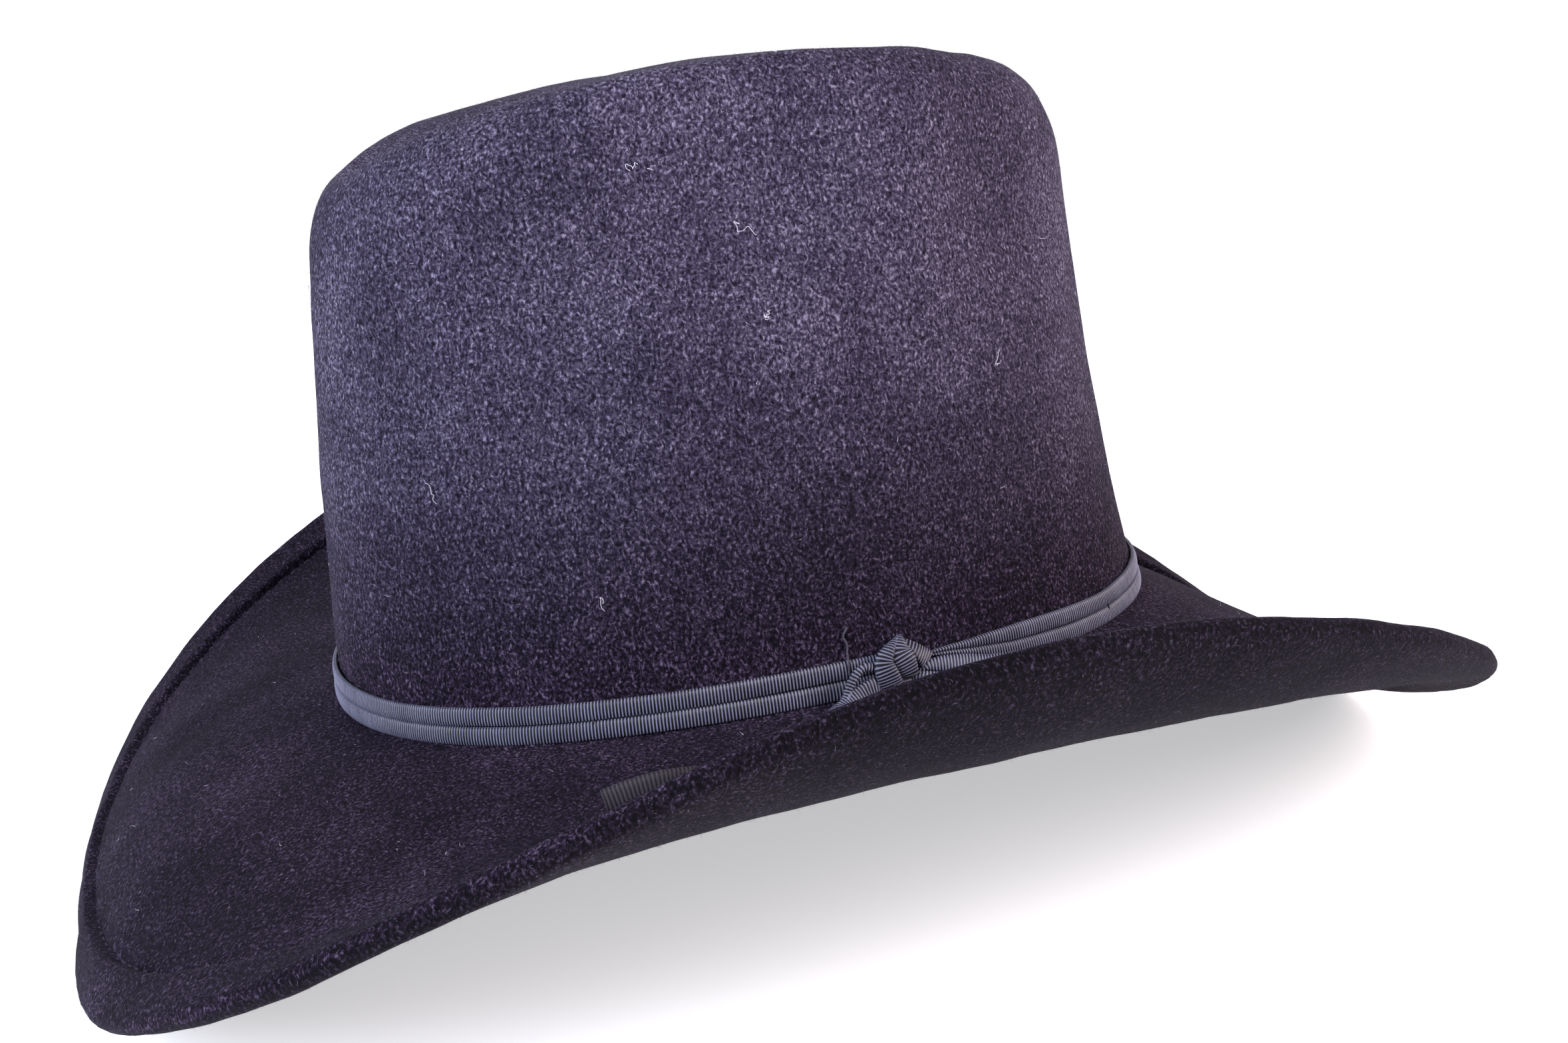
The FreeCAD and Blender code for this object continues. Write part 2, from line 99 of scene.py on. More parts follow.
def crownSkin(turn, station):
    # station 0 to 1 climbs the wall and shoulder, 1 to 2 crosses the top to its middle
    turn, station = np.broadcast_arrays(np.asarray(turn, float), np.asarray(station, float))
    climb = np.minimum(station, 1.0)
    bend = np.clip((climb - 0.7) / 0.3, 0, 1) * np.pi / 2
    straight = (crown["height"] - crown["shoulderDrop"]) * np.minimum(climb, 0.7) / 0.7
    height = straight + crown["shoulderDrop"] * np.sin(bend)
    turned = 1 - np.cos(bend)
    share = height / crown["height"]
    fullness = crown["baseFullness"] + (crown["topFullness"] - crown["baseFullness"]) * np.minimum(1, share * 1.6)
    halfLength = (crown["halfLength"] + (crown["topHalfLength"] - crown["halfLength"]) * share
                  - crown["shoulderReachLength"] * turned)
    halfWidth = (crown["halfWidth"] + (crown["topHalfWidth"] - crown["halfWidth"]) * share
                 - crown["shoulderReachWidth"] * turned)
    scale = np.where(station <= 1, 1.0, 2.0 - station)
    x, y = oval(halfLength * scale, halfWidth * scale, fullness, turn)
    bowed = 1 - crown["topBow"] * (y / 100) ** 2
    wall = height * bowed + breakHeight(turn) * (1 - share) + creaseHeight(x, y) * turned * turned
    z = np.where(station <= 1, wall, crown["height"] * bowed + creaseHeight(x, y))
    push = (bump(y, z, creases["side"]) + bump(y, z, creases["rear"])) * np.minimum(1, np.abs(x) / 30.0)
    x = x - np.sign(x) * push * scale ** 6
    y = y + crown["topShift"] * share + crown["wallLean"] * np.sin(np.pi * share)
    return np.stack([x, y, z + crown["topTilt"] * y * share], -1)


def ringTurns(count):
    return np.arange(count) * 2 * np.pi / count


def unit(vectors):
    return vectors / (np.linalg.norm(vectors, axis=-1, keepdims=True) + 1e-12)


def skinNormal(skin, turn, station, stepTurn, stepStation):
    across = skin(turn + stepTurn, station) - skin(turn - stepTurn, station)
    along = skin(turn, station + stepStation) - skin(turn, station - stepStation)
    return unit(np.cross(across, along))


def aheadOf(placeOf, turn, *place):
    return unit(placeOf(turn + 0.01, *place) - placeOf(turn - 0.01, *place))


def crownPoint(turn, station, out):
    return crownSkin(turn, station) + skinNormal(crownSkin, turn, np.maximum(0.01, station), 0.009, 0.004) * out


def crownPointAt(turn, station, out):
    return crownPoint(turn, station, np.asarray(out, float)[..., None])


def stationAt(turn, height):
    low, high = np.zeros_like(turn), np.ones_like(turn)
    base = breakHeight(turn)
    for _ in range(24):
        middle = (low + high) / 2
        below = crownSkin(turn, middle)[..., 2] - base < height
        low, high = np.where(below, middle, low), np.where(below, high, middle)
    return (low + high) / 2


def wallAt(turn, height, out):
    turn, height, out = np.broadcast_arrays(*(np.asarray(values, float) for values in (turn, height, out)))
    return crownPoint(turn, stationAt(turn, height), out[..., None])


def cosineSeries(terms, turn):
    return sum(term * np.cos(order * turn) for order, term in enumerate(terms))


def brimReach(turn):
    return cosineSeries(brim["width"], turn)


def outward(turn):
    x1, y1 = oval(crown["halfLength"], crown["halfWidth"], crown["baseFullness"], turn - 0.009)
    x2, y2 = oval(crown["halfLength"], crown["halfWidth"], crown["baseFullness"], turn + 0.009)
    return unit(np.stack([y2 - y1, x1 - x2, 0 * x1], -1))


def brimMiddle(turn, reach):
    turn, reach = np.broadcast_arrays(np.asarray(turn, float), np.asarray(reach, float))
    root, edge, width = cosineSeries(brim["root"], turn), cosineSeries(brim["edge"], turn), brimReach(turn)
    out, up, steps = np.zeros(turn.shape), np.zeros(turn.shape), 40
    for step in range(steps):
        share = np.minimum(1.0, np.abs((step + 0.5) / steps * reach / width))
        slope = np.radians(root + (edge - root) * share ** brim["curl"])
        out += np.cos(slope) * reach / steps
        up += np.sin(slope) * reach / steps
    x, y = oval(crown["halfLength"], crown["halfWidth"], crown["baseFullness"], turn)
    return np.stack([x, y, breakHeight(turn) + up], -1) + outward(turn) * out[..., None]


def brimPoint(turn, reach, lift):
    normal = skinNormal(brimMiddle, turn, np.maximum(2.0, reach), 0.009, 0.5)
    normal = normal * np.where(normal[..., 2:] < 0, -1, 1)
    return brimMiddle(turn, reach) + normal * np.asarray(lift, float)[..., None]


def blendCorner(first, corner, last, share):
    return first * (1 - share) ** 2 + corner * 2 * share * (1 - share) + last * share ** 2


def makePiece(name, points, faces, uvs=None):
    mesh = bpy.data.meshes.new(name)
    mesh.from_pydata((np.asarray(points) * mm).tolist(), [], faces)
    if uvs is not None:
        layer = mesh.uv_layers.new(name="UVMap")
        loops = np.empty(len(mesh.loops), dtype=np.int32)
        mesh.loops.foreach_get("vertex_index", loops)
        layer.data.foreach_set("uv", np.asarray(uvs, dtype=np.float32)[loops].ravel())
    mesh.validate()
    mesh.polygons.foreach_set("use_smooth", [True] * len(mesh.polygons))
    mesh.update()
    piece = bpy.data.objects.new(name, mesh)
    bpy.context.scene.collection.objects.link(piece)
    return piece


def gridFaces(rows, columns, closedRows, closedColumns):
    rowCount = rows if closedRows else rows - 1
    columnCount = columns if closedColumns else columns - 1
    r, c = np.meshgrid(np.arange(rowCount), np.arange(columnCount), indexing="ij")
    r2, c2 = (r + 1) % rows, (c + 1) % columns
    corners = [r * columns + c, r * columns + c2, r2 * columns + c2, r2 * columns + c]
    return np.stack(corners, -1).reshape(-1, 4).tolist()


def endCaps(count, sides):
    return [list(reversed(range(sides))), [(count - 1) * sides + i for i in range(sides)]]


def linearColour(hexText):
    parts = [int(hexText[i:i + 2], 16) / 255 for i in (1, 3, 5)]
    return [p / 12.92 if p <= 0.04045 else ((p + 0.055) / 1.055) ** 2.4 for p in parts] + [1.0]


def addNode(tree, kind, values=None, links=None, **settings):
    node = tree.nodes.new(kind)
    for key, value in settings.items():
        setattr(node, key, value)
    for key, value in (values or {}).items():
        node.inputs[key].default_value = value
    for key, source in (links or {}).items():
        tree.links.new(source, node.inputs[key])
    return node


def startMaterial(name, values=None):
    material = bpy.data.materials.new(name)
    material.use_nodes = True
    tree = material.node_tree
    tree.nodes.clear()
    shader = addNode(tree, "ShaderNodeBsdfPrincipled", values)
    addNode(tree, "ShaderNodeOutputMaterial", links={"Surface": shader.outputs[0]})
    place = addNode(tree, "ShaderNodeTexCoord").outputs["Object"]
    return material, tree, shader, place


def tonesFrom(tree, source, stops):
    ramp = addNode(tree, "ShaderNodeValToRGB", links={"Fac": source})
    elements = ramp.color_ramp.elements
    while len(elements) < len(stops):
        elements.new(0.5)
    for element, (place, colour) in zip(elements, stops):
        element.position = place
        element.color = linearColour(colour)
    return ramp.outputs["Color"]


def dressShader(tree, shader, colour, relief, strength, depth):
    # gives the shader its colour and a fine relief; depth is in metres
    bumps = addNode(tree, "ShaderNodeBump", {"Strength": strength, "Distance": depth}, {"Height": relief})
    tree.links.new(colour, shader.inputs["Base Color"])
    tree.links.new(bumps.outputs[0], shader.inputs["Normal"])


def finishPiece(piece, material, slot, *nodes):
    piece.data.materials.clear()
    piece.data.materials.append(material)
    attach(piece, "root")
    if nodes:
        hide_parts(*nodes)
    return piece


# the brim tones, darker than the crown's, are painted shade
feltLook = {"fibre": 0.30, "tuft": 0.75, "strokes": 2.4, "patch": 30.0, "rough": 0.95, "sheen": 0.02,
            "crown": ("#0d0a12", "#292335", "#464052", "#7c758b"),
            # the last value on the next line is how far the painted shade darkens the brim's underside
            "brim": ("#030105", "#0e0914", "#281e30", "#5a4f64"), "steps": (0.41, 0.50, 0.57, 0.66), "under": 0.45}


def woolFelt(look):
    # wool felt: pressed and brushed wool, so it is matt, with dark pits and short lighter strokes of fibre;
    # the brim, the inside of the crown and the lower crown wall take darker tones as painted shade,
    # and the underside of the brim is darkened further as painted shade
    material, tree, shader, place = startMaterial("woolFelt", {
        "Roughness": look["rough"], "Specular IOR Level": 0.1, "Sheen Weight": look["sheen"],
        "Sheen Roughness": 0.45, "Sheen Tint": linearColour("#a49dc4")})
    warp = addNode(tree, "ShaderNodeTexNoise", {"Scale": 1000 / 2.4, "Detail": 2.0}, {"Vector": place})
    bent = addNode(tree, "ShaderNodeVectorMath", {1: (0.0016,) * 3}, {0: warp.outputs["Color"]},
                   operation="MULTIPLY")
    shifted = addNode(tree, "ShaderNodeVectorMath", links={0: place, 1: bent.outputs[0]}, operation="ADD")
    moved = shifted.outputs[0]
    layers = []
    for tilt in (0.65, -0.5):
        combed = addNode(tree, "ShaderNodeMapping",
                         {"Rotation": (tilt, 0.5, 0.2), "Scale": (0.8, 1, 1 / look["strokes"])}, {"Vector": moved})
        layer = addNode(tree, "ShaderNodeTexNoise",
                        {"Scale": 1000 / look["fibre"] / 1.8, "Detail": 2.0, "Roughness": 0.6},
                        {"Vector": combed.outputs[0]})
        layers.append(layer.outputs["Fac"])
    strokes = addNode(tree, "ShaderNodeMath", links={0: layers[0], 1: layers[1]}, operation="MAXIMUM")
    tuft = addNode(tree, "ShaderNodeTexNoise", {"Scale": 1000 / look["tuft"], "Detail": 2.0, "Roughness": 0.6},
                   {"Vector": moved})
    patch = addNode(tree, "ShaderNodeTexNoise", {"Scale": 1000 / look["patch"], "Detail": 3.0}, {"Vector": place})
    first = addNode(tree, "ShaderNodeMix", {"Factor": 0.5}, {2: tuft.outputs["Fac"], 3: strokes.outputs[0]},
                    data_type="FLOAT")
    second = addNode(tree, "ShaderNodeMix", {"Factor": 0.12}, {2: first.outputs[0], 3: patch.outputs["Fac"]},
                     data_type="FLOAT")
    tones = [tonesFrom(tree, second.outputs[0], list(zip(look["steps"], look[part]))) for part in ("crown", "brim")]
    # painted shade: the brim, the inside of the crown and the lower crown wall take the darker tones
    shadeAttribute = addNode(tree, "ShaderNodeAttribute", attribute_name="paintedShade")
    shadedTones = addNode(tree, "ShaderNodeMix", links={"Factor": shadeAttribute.outputs["Fac"], 6: tones[0], 7: tones[1]},
                    data_type="RGBA")
    # painted shade: the underside of the brim is darker still
    underBrimShade = addNode(tree, "ShaderNodeAttribute", attribute_name="underBrimShade")
    shade = addNode(tree, "ShaderNodeMapRange", {"To Min": 1.0, "To Max": look["under"]},
                    {"Value": underBrimShade.outputs["Fac"]})
    colour = addNode(tree, "ShaderNodeVectorMath", links={0: shadedTones.outputs[2], "Scale": shade.outputs[0]},
                     operation="SCALE")
    dressShader(tree, shader, colour.outputs[0], first.outputs[0], 0.9, 0.0006)
    return material


# light is the painted highlight on the ribbon's cord tops and dark the painted shade in its gaps
ribbonLook = {"dark": "#030306", "base": "#1e1d2b", "light": "#7b7b93", "rough": 0.42}


def grosgrain(look, name="rayonGrosgrain"):
    # grosgrain: rayon warp over thick cross cords; its colour follows the ribs, lighter on the cord tops
    # as a painted highlight and dark in the gaps between them as painted shade
    material, tree, shader, place = startMaterial(name, {
        "Roughness": look["rough"], "Specular IOR Level": 0.28, "Sheen Weight": 0.04})
    uv = addNode(tree, "ShaderNodeTexCoord").outputs["UV"]
    split = addNode(tree, "ShaderNodeSeparateXYZ", links={0: uv})
    wave = addNode(tree, "ShaderNodeMath", {1: 2 * math.pi}, {0: split.outputs[0]}, operation="MULTIPLY")
    ribs = addNode(tree, "ShaderNodeMath", links={0: wave.outputs[0]}, operation="COSINE")
    fine = addNode(tree, "ShaderNodeTexNoise", {"Scale": 1000 / 0.25, "Detail": 2.0}, {"Vector": place})
    broad = addNode(tree, "ShaderNodeTexNoise", {"Scale": 1000 / 6.0, "Detail": 2.0}, {"Vector": place})
    lifted = addNode(tree, "ShaderNodeMapRange", {"From Min": -1.0, "From Max": 1.0}, {"Value": ribs.outputs[0]})
    first = addNode(tree, "ShaderNodeMix", {"Factor": 0.3}, {2: lifted.outputs[0], 3: fine.outputs["Fac"]},
                    data_type="FLOAT")
    second = addNode(tree, "ShaderNodeMix", {"Factor": 0.2}, {2: first.outputs[0], 3: broad.outputs["Fac"]},
                     data_type="FLOAT")
    # painted highlight on the cord tops and painted shade in the gaps, from the rib wave
    colour = tonesFrom(tree, second.outputs[0], [(0.18, look["dark"]), (0.5, look["base"]), (0.8, look["light"])])
    dressShader(tree, shader, colour, fine.outputs["Fac"], 0.35, 0.0001)
    return material


def plainCloth(name, dark, light, threadSize, rough, sheen):
    # woven or spun cloth at thread scale: two close tones and a fine relief
    material, tree, shader, place = startMaterial(name, {"Roughness": rough, "Sheen Weight": sheen})
    grain = addNode(tree, "ShaderNodeTexNoise", {"Scale": 1000 / threadSize, "Detail": 3.0}, {"Vector": place})
    colour = tonesFrom(tree, grain.outputs["Fac"], [(0.35, dark), (0.65, light)])
    dressShader(tree, shader, colour, grain.outputs["Fac"], 0.4, 0.0001)
    return material


def sheepskin():
    # thin finished sheepskin: fine pebbled grain, a soft gloss, a little wear in the colour
    material, tree, shader, place = startMaterial("sheepskinLeather")
    cells = addNode(tree, "ShaderNodeTexVoronoi", {"Scale": 1000 / 0.9}, {"Vector": place},
                    feature="DISTANCE_TO_EDGE")
    wear = addNode(tree, "ShaderNodeTexNoise", {"Scale": 1000 / 14.0, "Detail": 4.0}, {"Vector": place})
    colour = tonesFrom(tree, wear.outputs["Fac"], [(0.3, "#1f1a1c"), (0.6, "#2f292b"), (0.8, "#453d3c")])
    rough = addNode(tree, "ShaderNodeMapRange", {"To Min": 0.38, "To Max": 0.6}, {"Value": wear.outputs["Fac"]})
    tree.links.new(rough.outputs[0], shader.inputs["Roughness"])
    dressShader(tree, shader, colour, cells.outputs["Distance"], 0.35, 0.0002)
    return material


def satin():
    # acetate satin: long floating threads give a soft directional gloss over a dark ground
    material, tree, shader, place = startMaterial("acetateSatin", {"Roughness": 0.3, "Sheen Weight": 0.15})
    stretched = addNode(tree, "ShaderNodeMapping", {"Scale": (1, 1, 0.12)}, {"Vector": place})
    threads = addNode(tree, "ShaderNodeTexNoise", {"Scale": 1000 / 0.5, "Detail": 2.0},
                      {"Vector": stretched.outputs[0]})
    colour = tonesFrom(tree, threads.outputs["Fac"], [(0.35, "#1c1928"), (0.65, "#2f2b42")])
    dressShader(tree, shader, colour, threads.outputs["Fac"], 0.2, 0.0001)
    return material


def clearFilm():
    # clear PVC film: thin and glossy with faint waves
    material, tree, shader, place = startMaterial("clearVinylFilm", {
        "Base Color": linearColour("#e9edf2"), "Roughness": 0.08, "IOR": 1.53, "Alpha": 0.16})
    waves = addNode(tree, "ShaderNodeTexNoise", {"Scale": 1000 / 16.0}, {"Vector": place})
    bumps = addNode(tree, "ShaderNodeBump", {"Strength": 0.2, "Distance": 0.0006}, {"Height": waves.outputs["Fac"]})
    tree.links.new(bumps.outputs[0], shader.inputs["Normal"])
    return material


def drawnSteel():
    # drawn spring steel: bright, with fine lines from the die
    material, tree, shader, place = startMaterial("drawnSteel", {"Metallic": 1.0, "Roughness": 0.35})
    lines = addNode(tree, "ShaderNodeTexNoise", {"Scale": 1000 / 0.6, "Detail": 2.0}, {"Vector": place})
    colour = tonesFrom(tree, lines.outputs["Fac"], [(0.3, "#8d8f92"), (0.7, "#b9bbbd")])
    tree.links.new(colour, shader.inputs["Base Color"])
    return material


feltMaterial = woolFelt(feltLook)
ribbonMaterial = grosgrain(ribbonLook)
# a darker, duller ribbon for the end of the front tail
darkDullLook = {"dark": "#0a080d", "base": "#1b1720", "light": "#3a333f", "rough": 0.6}
dullRibbonMaterial = grosgrain({**ribbonLook, **darkDullLook}, "darkDullGrosgrain")
napMaterial = plainCloth("woolFibres", "#2b2638", "#9a93ad", 1.2, 0.95, 0.2)
# the brim's fibres take darker tones than the crown's: painted shade, as on the brim felt
brimNapMaterial = plainCloth("shadedBrimWoolFibres", "#1a1622", "#6b6378", 1.2, 0.95, 0.2)
threadMaterial = plainCloth("spunPolyesterThread", "#0b0a10", "#22202c", 0.25, 0.7, 0.1)
tapeMaterial = plainCloth("wovenCottonTape", "#1d1b25", "#34313f", 0.5, 0.9, 0.3)
reedMaterial = plainCloth("extrudedPolyethylene", "#1a1a1e", "#26262b", 2.0, 0.4, 0.0)
looseThreadMaterial = plainCloth("spunPolyesterEnd", "#191622", "#4b475c", 0.25, 0.7, 0.2)
lintMaterial = plainCloth("cottonLint", "#b9b4c4", "#e4e1ea", 0.2, 0.9, 0.4)
leatherMaterial = sheepskin()
satinMaterial = satin()
filmMaterial = clearFilm()
steelMaterial = drawnSteel()
print("materials made")


# the three shade values set where the painted shade on the crown wall starts, how far down it deepens and its curve
feltMesh = {"columns": 320, "topRows": 30, "shoulderRows": 16, "wallRows": 26, "cornerRows": 6, "brimRows": 26,
            "weltRows": 17, "edgeRows": 9, "lipRows": 4, "underRows": 20, "insideCornerRows": 7,
            "shadeFrom": 60.0, "shadeOver": 46.0, "shadeCurve": 0.9,
            "waveSize": 21.0, "waveHeight": 0.5, "rippleSize": 7.0, "rippleHeight": 0.16}


def feltRings(columns):
    turn = ringTurns(columns)
    half, felt, rise, width = brim["felt"] / 2, brim["felt"], brim["weltRise"], brim["weltWidth"]
    reach = brimReach(turn)
    edgeRadius = (felt + rise) / 2
    outside = np.concatenate([np.linspace(0.045, 0.68, feltMesh["wallRows"]),
                              np.linspace(0.70, 0.98, feltMesh["shoulderRows"]),
                              np.linspace(1.0, 1.985, feltMesh["topRows"])])
    rings = [crownSkin(turn, s) for s in outside[::-1]]
    fillet = brim["outerFillet"]
    high, low = wallAt(turn, half + fillet, 0.0), brimPoint(turn, fillet, half)
    corner = crownSkin(turn, 0.0) + np.array([0, 0, half])
    rings += [blendCorner(high, corner, low, s) for s in np.linspace(0, 1, feltMesh["cornerRows"])]
    rings += [brimPoint(turn, reach * s, half) for s in np.linspace(0.05, 0.80, feltMesh["brimRows"])]
    profile = [(14.2, half), (12.6, half), (12.0, half - 0.03), (11.7, half - 0.16), (11.45, half - 0.42),
               (11.2, half - 0.55), (11.0, half - 0.45), (width - 0.1, half), (width - 0.25, half + 0.7),
               (width - 0.45, half + 1.35), (width - 0.8, half + 1.85), (width - 1.4, half + 2.1),
               (width - 2.4, half + rise)] + [(inset, half + rise) for inset in (7.0, 5.6, 4.2, 2.8)]
    rings += [brimPoint(turn, reach - inset, lift) for inset, lift in profile]
    for swing in np.radians(np.linspace(72, -72, feltMesh["edgeRows"])):
        rings.append(brimPoint(turn, reach - 1.4 + edgeRadius * math.cos(swing),
                               rise / 2 + edgeRadius * math.sin(swing)))
    rings += [brimPoint(turn, reach - inset, -half) for inset in (2.8, 5.0, 8.0, 11.5)]
    rings += [brimPoint(turn, reach * s, -half) for s in np.linspace(0.82, 0.11, feltMesh["underRows"])]
    inner = brim["innerFillet"]
    low, high = brimPoint(turn, inner, -half), wallAt(turn, inner, -felt)
    corner = crownPoint(turn, 0.012, -felt) - np.array([0, 0, half])
    rings += [blendCorner(low, corner, high, s) for s in np.linspace(0, 1, feltMesh["insideCornerRows"])]
    for first, last, rows in ((0.09, 0.68, 14), (0.70, 0.98, 9), (1.0, 1.985, 14)):
        rings += [crownPoint(turn, s, -felt) for s in np.linspace(first, last, rows)]
    return np.array(rings)


def liveSurface(points, settings):
    # hand-shaped felt is never quite even: it has broad waves and finer ripples
    moved = points.copy()
    for index, point in enumerate(points):
        wave = noise.noise_vector(Vector(point / settings["waveSize"]))
        ripple = noise.noise_vector(Vector(point / settings["rippleSize"]) + Vector((7.1, 3.3, 9.2)))
        moved[index] += np.array(wave) * settings["waveHeight"] + np.array(ripple) * settings["rippleHeight"]
    return moved


rings = feltRings(feltMesh["columns"])
ringCount, columnCount = rings.shape[:2]
points = np.concatenate([rings.reshape(-1, 3), [rings[0].mean(0), rings[-1].mean(0)]])
faces = gridFaces(ringCount, columnCount, False, True)
firstPole, lastPole, lastStart = len(points) - 2, len(points) - 1, (ringCount - 1) * columnCount
for column in range(columnCount):
    following = (column + 1) % columnCount
    faces.append((firstPole, following, column))
    faces.append((lastPole, lastStart + column, lastStart + following))
faces = [tuple(reversed(face)) for face in faces]  # outwards
feltPoints = liveSurface(points, feltMesh)
feltPiece = makePiece("feltBody", feltPoints, faces)
crownEnd = feltMesh["topRows"] + feltMesh["shoulderRows"] + feltMesh["wallRows"]  # the first row past the wall
brimEnd = crownEnd + feltMesh["cornerRows"] + feltMesh["brimRows"]  # the first row of the folded edge
foldRow = brimEnd + feltMesh["weltRows"] + feltMesh["edgeRows"] // 2  # the outermost row
underStart = brimEnd + feltMesh["weltRows"] + feltMesh["edgeRows"] + feltMesh["lipRows"]
underEnd = underStart + feltMesh["underRows"]
ringOf = np.minimum(np.arange(len(points)) // columnCount, ringCount - 1)
# painted shade: the crown wall darkens towards the band; the brim, its underside and the inside of the crown take the
# full darker tones
crownHeights = rings[:crownEnd, :, 2].mean(1)
shadeRows = np.clip((feltMesh["shadeFrom"] - crownHeights) / feltMesh["shadeOver"], 0, 1) ** feltMesh["shadeCurve"]
paintedShade = np.where(ringOf < crownEnd, shadeRows[np.minimum(ringOf, crownEnd - 1)], 1.0)
paintedShade[firstPole] = 0.0
insideStart = underEnd + feltMesh["insideCornerRows"]  # the first row inside the crown
# painted shade beneath the brim: the lower half of its folded edge and its underside
underBrimShade = np.where((ringOf >= foldRow) & (ringOf < insideStart), 1.0, 0.0)
for label, values in (("paintedShade", paintedShade), ("underBrimShade", underBrimShade)):
    layer = feltPiece.data.attributes.new(label, "FLOAT", "POINT")
    layer.data.foreach_set("value", values.astype(np.float32))
finishPiece(feltPiece, feltMaterial, "wool_felt", "felt_body")
print("felt body made", len(feltPiece.data.polygons))


# the ribbon's section: (side, level), as shares of its width and thickness
ribbonOutline = [(-0.5, -0.1), (-0.47, -0.5), (0.0, -0.5), (0.47, -0.5), (0.5, -0.1), (0.485, 0.25), (0.40, 0.44),
                 (0.2, 0.5), (0.0, 0.5), (-0.2, 0.5), (-0.40, 0.44), (-0.485, 0.25)]


def ribbedStrip(name, centres, across, out, widths, ribPitch, thickness, dome=0.22, ribHeight=0.075, closed=False):
    # a thick ribbon through dense centres; across and out are unit directions, ribs lie across its length
    count = len(centres)
    ahead = np.linalg.norm(np.diff(centres, axis=0, append=centres[:1] if closed else centres[-1:]), axis=-1)
    length = np.concatenate([[0], np.cumsum(ahead)[:-1]])
    total = ahead.sum()
    ribs = max(2, round(total / ribPitch))
    phase = length / total * ribs
    sides = len(ribbonOutline)
    lift = np.cos(2 * np.pi * phase) * ribHeight
    points, uvs = [], []
    for side, level in ribbonOutline:
        crowned = dome * (1 - (2 * side) ** 2) if level > 0.2 else 0.0
        ribbing = lift if level > 0.1 else lift * 0.3
        edge = 1 + 0.25 * lift / max(widths.max(), 0.1) if abs(side) > 0.45 else 1.0
        height = thickness * level + crowned + ribbing
        points.append(centres + across * (widths * side * edge)[:, None] + out * height[:, None])
        uvs.append(np.stack([phase, np.full(count, side + 0.5)], -1))
    grid = np.array(points).transpose(1, 0, 2)
    uvGrid = np.array(uvs).transpose(1, 0, 2).reshape(-1, 2)
    faces = gridFaces(count, sides, closed, True)
    if not closed:
        faces += endCaps(count, sides)
    return makePiece(name, grid.reshape(-1, 3), faces, uvGrid)


def smoothPath(controls, count):
    # Catmull-Rom through rows of numbers
    rows = np.array(controls, float)
    padded = np.vstack([2 * rows[0] - rows[1], rows, 2 * rows[-1] - rows[-2]])
    place = np.linspace(0, len(rows) - 1 - 1e-9, count)
    index, t = place.astype(int), (place % 1)[:, None]
    p0, p1, p2, p3 = (padded[index + k] for k in range(4))
    return 0.5 * (2 * p1 + (p2 - p0) * t + (2 * p0 - 5 * p1 + 4 * p2 - p3) * t ** 2
                  + (3 * p1 - p0 - 3 * p2 + p3) * t ** 3)


def evenPath(controls, spacing):
    # the same curve, but with its points the same distance apart
    dense = smoothPath(controls, 60 * len(controls))
    run = np.concatenate([[0], np.cumsum(np.linalg.norm(np.diff(dense[:, :3], axis=0), axis=-1))])
    stops = np.linspace(0, run[-1], max(6, int(run[-1] / spacing)))
    return np.stack([np.interp(stops, run, dense[:, k]) for k in range(dense.shape[1])], -1)


def joinPieces(name, pieces):
    whole = bmesh.new()
    for piece in pieces:
        whole.from_mesh(piece.data)
        bpy.data.objects.remove(piece)
    mesh = bpy.data.meshes.new(name)
    whole.to_mesh(mesh)
    whole.free()
    joined = bpy.data.objects.new(name, mesh)
    bpy.context.scene.collection.objects.link(joined)
    return joined


# squeeze is how the two ribbons draw together at the knot: (angle, foot, split, head)
band = {"gap": 0.12, "inner": 0.3, "outer": 1.2, "rib": 0.72, "perRib": 5, "relief": 0.11,
        "round": 592.0, "radius": 94, "waver": 0.16, "waverSize": 26.0,
        "squeeze": [(92.0, 1.75, 5.76, 9.77), (94.0, 5.0, 6.9, 8.6), (96.0, 6.6, 7.3, 8.1),
                    (98.7, 6.6, 7.3, 7.9), (101.0, 6.0, 7.0, 8.1), (104.0, 4.6, 6.3, 8.2),
                    (107.0, 3.0, 5.8, 8.5), (110.0, 2.0, 5.2, 8.6), (114.0, 1.1, 4.9, 8.6),
                    (120.0, 0.8, 4.6, 8.4), (130.0, 0.9, 4.6, 8.3), (150.0, 1.75, 5.76, 9.77)]}


def bandRibbon(name, lower, seed, node):
    count = int(round(band["round"] / band["rib"])) * band["perRib"]
    turn = ringTurns(count)
    degrees = np.degrees(turn)
    angles, bottoms, splits, tops = (np.array(column) for column in zip(*band["squeeze"]))
    split = np.interp(degrees, angles, splits)
    gap = band["gap"] / 2
    foot = np.interp(degrees, angles, bottoms) if lower else split + gap
    head = split - gap if lower else np.interp(degrees, angles, tops)
    reach = band["radius"] / band["waverSize"]
    drift = np.array([noise.noise(Vector((math.cos(t) * reach, math.sin(t) * reach, seed))) for t in turn])
    drift = drift * band["waver"]
    middleOut = (band["inner"] + band["outer"]) / 2
    low, high = wallAt(turn, foot + drift, middleOut), wallAt(turn, head + drift, middleOut)
    middle = wallAt(turn, (foot + head) / 2 + drift, middleOut)
    across = unit(high - low)
    ahead = unit(np.roll(middle, -1, 0) - np.roll(middle, 1, 0))
    out = unit(np.cross(ahead, across))
    widths = np.linalg.norm(high - low, axis=-1)
    ribbon = ribbedStrip(name, middle, across, out, widths, band["rib"], band["outer"] - band["inner"],
                         ribHeight=band["relief"], closed=True)
    return finishPiece(ribbon, ribbonMaterial, "grosgrain", node)


bandRibbon("bandRibbonLower", True, 1.3, "hatband_lower_ribbon")
bandRibbon("bandRibbonUpper", False, 8.9, "hatband_upper_ribbon")
print("band made")


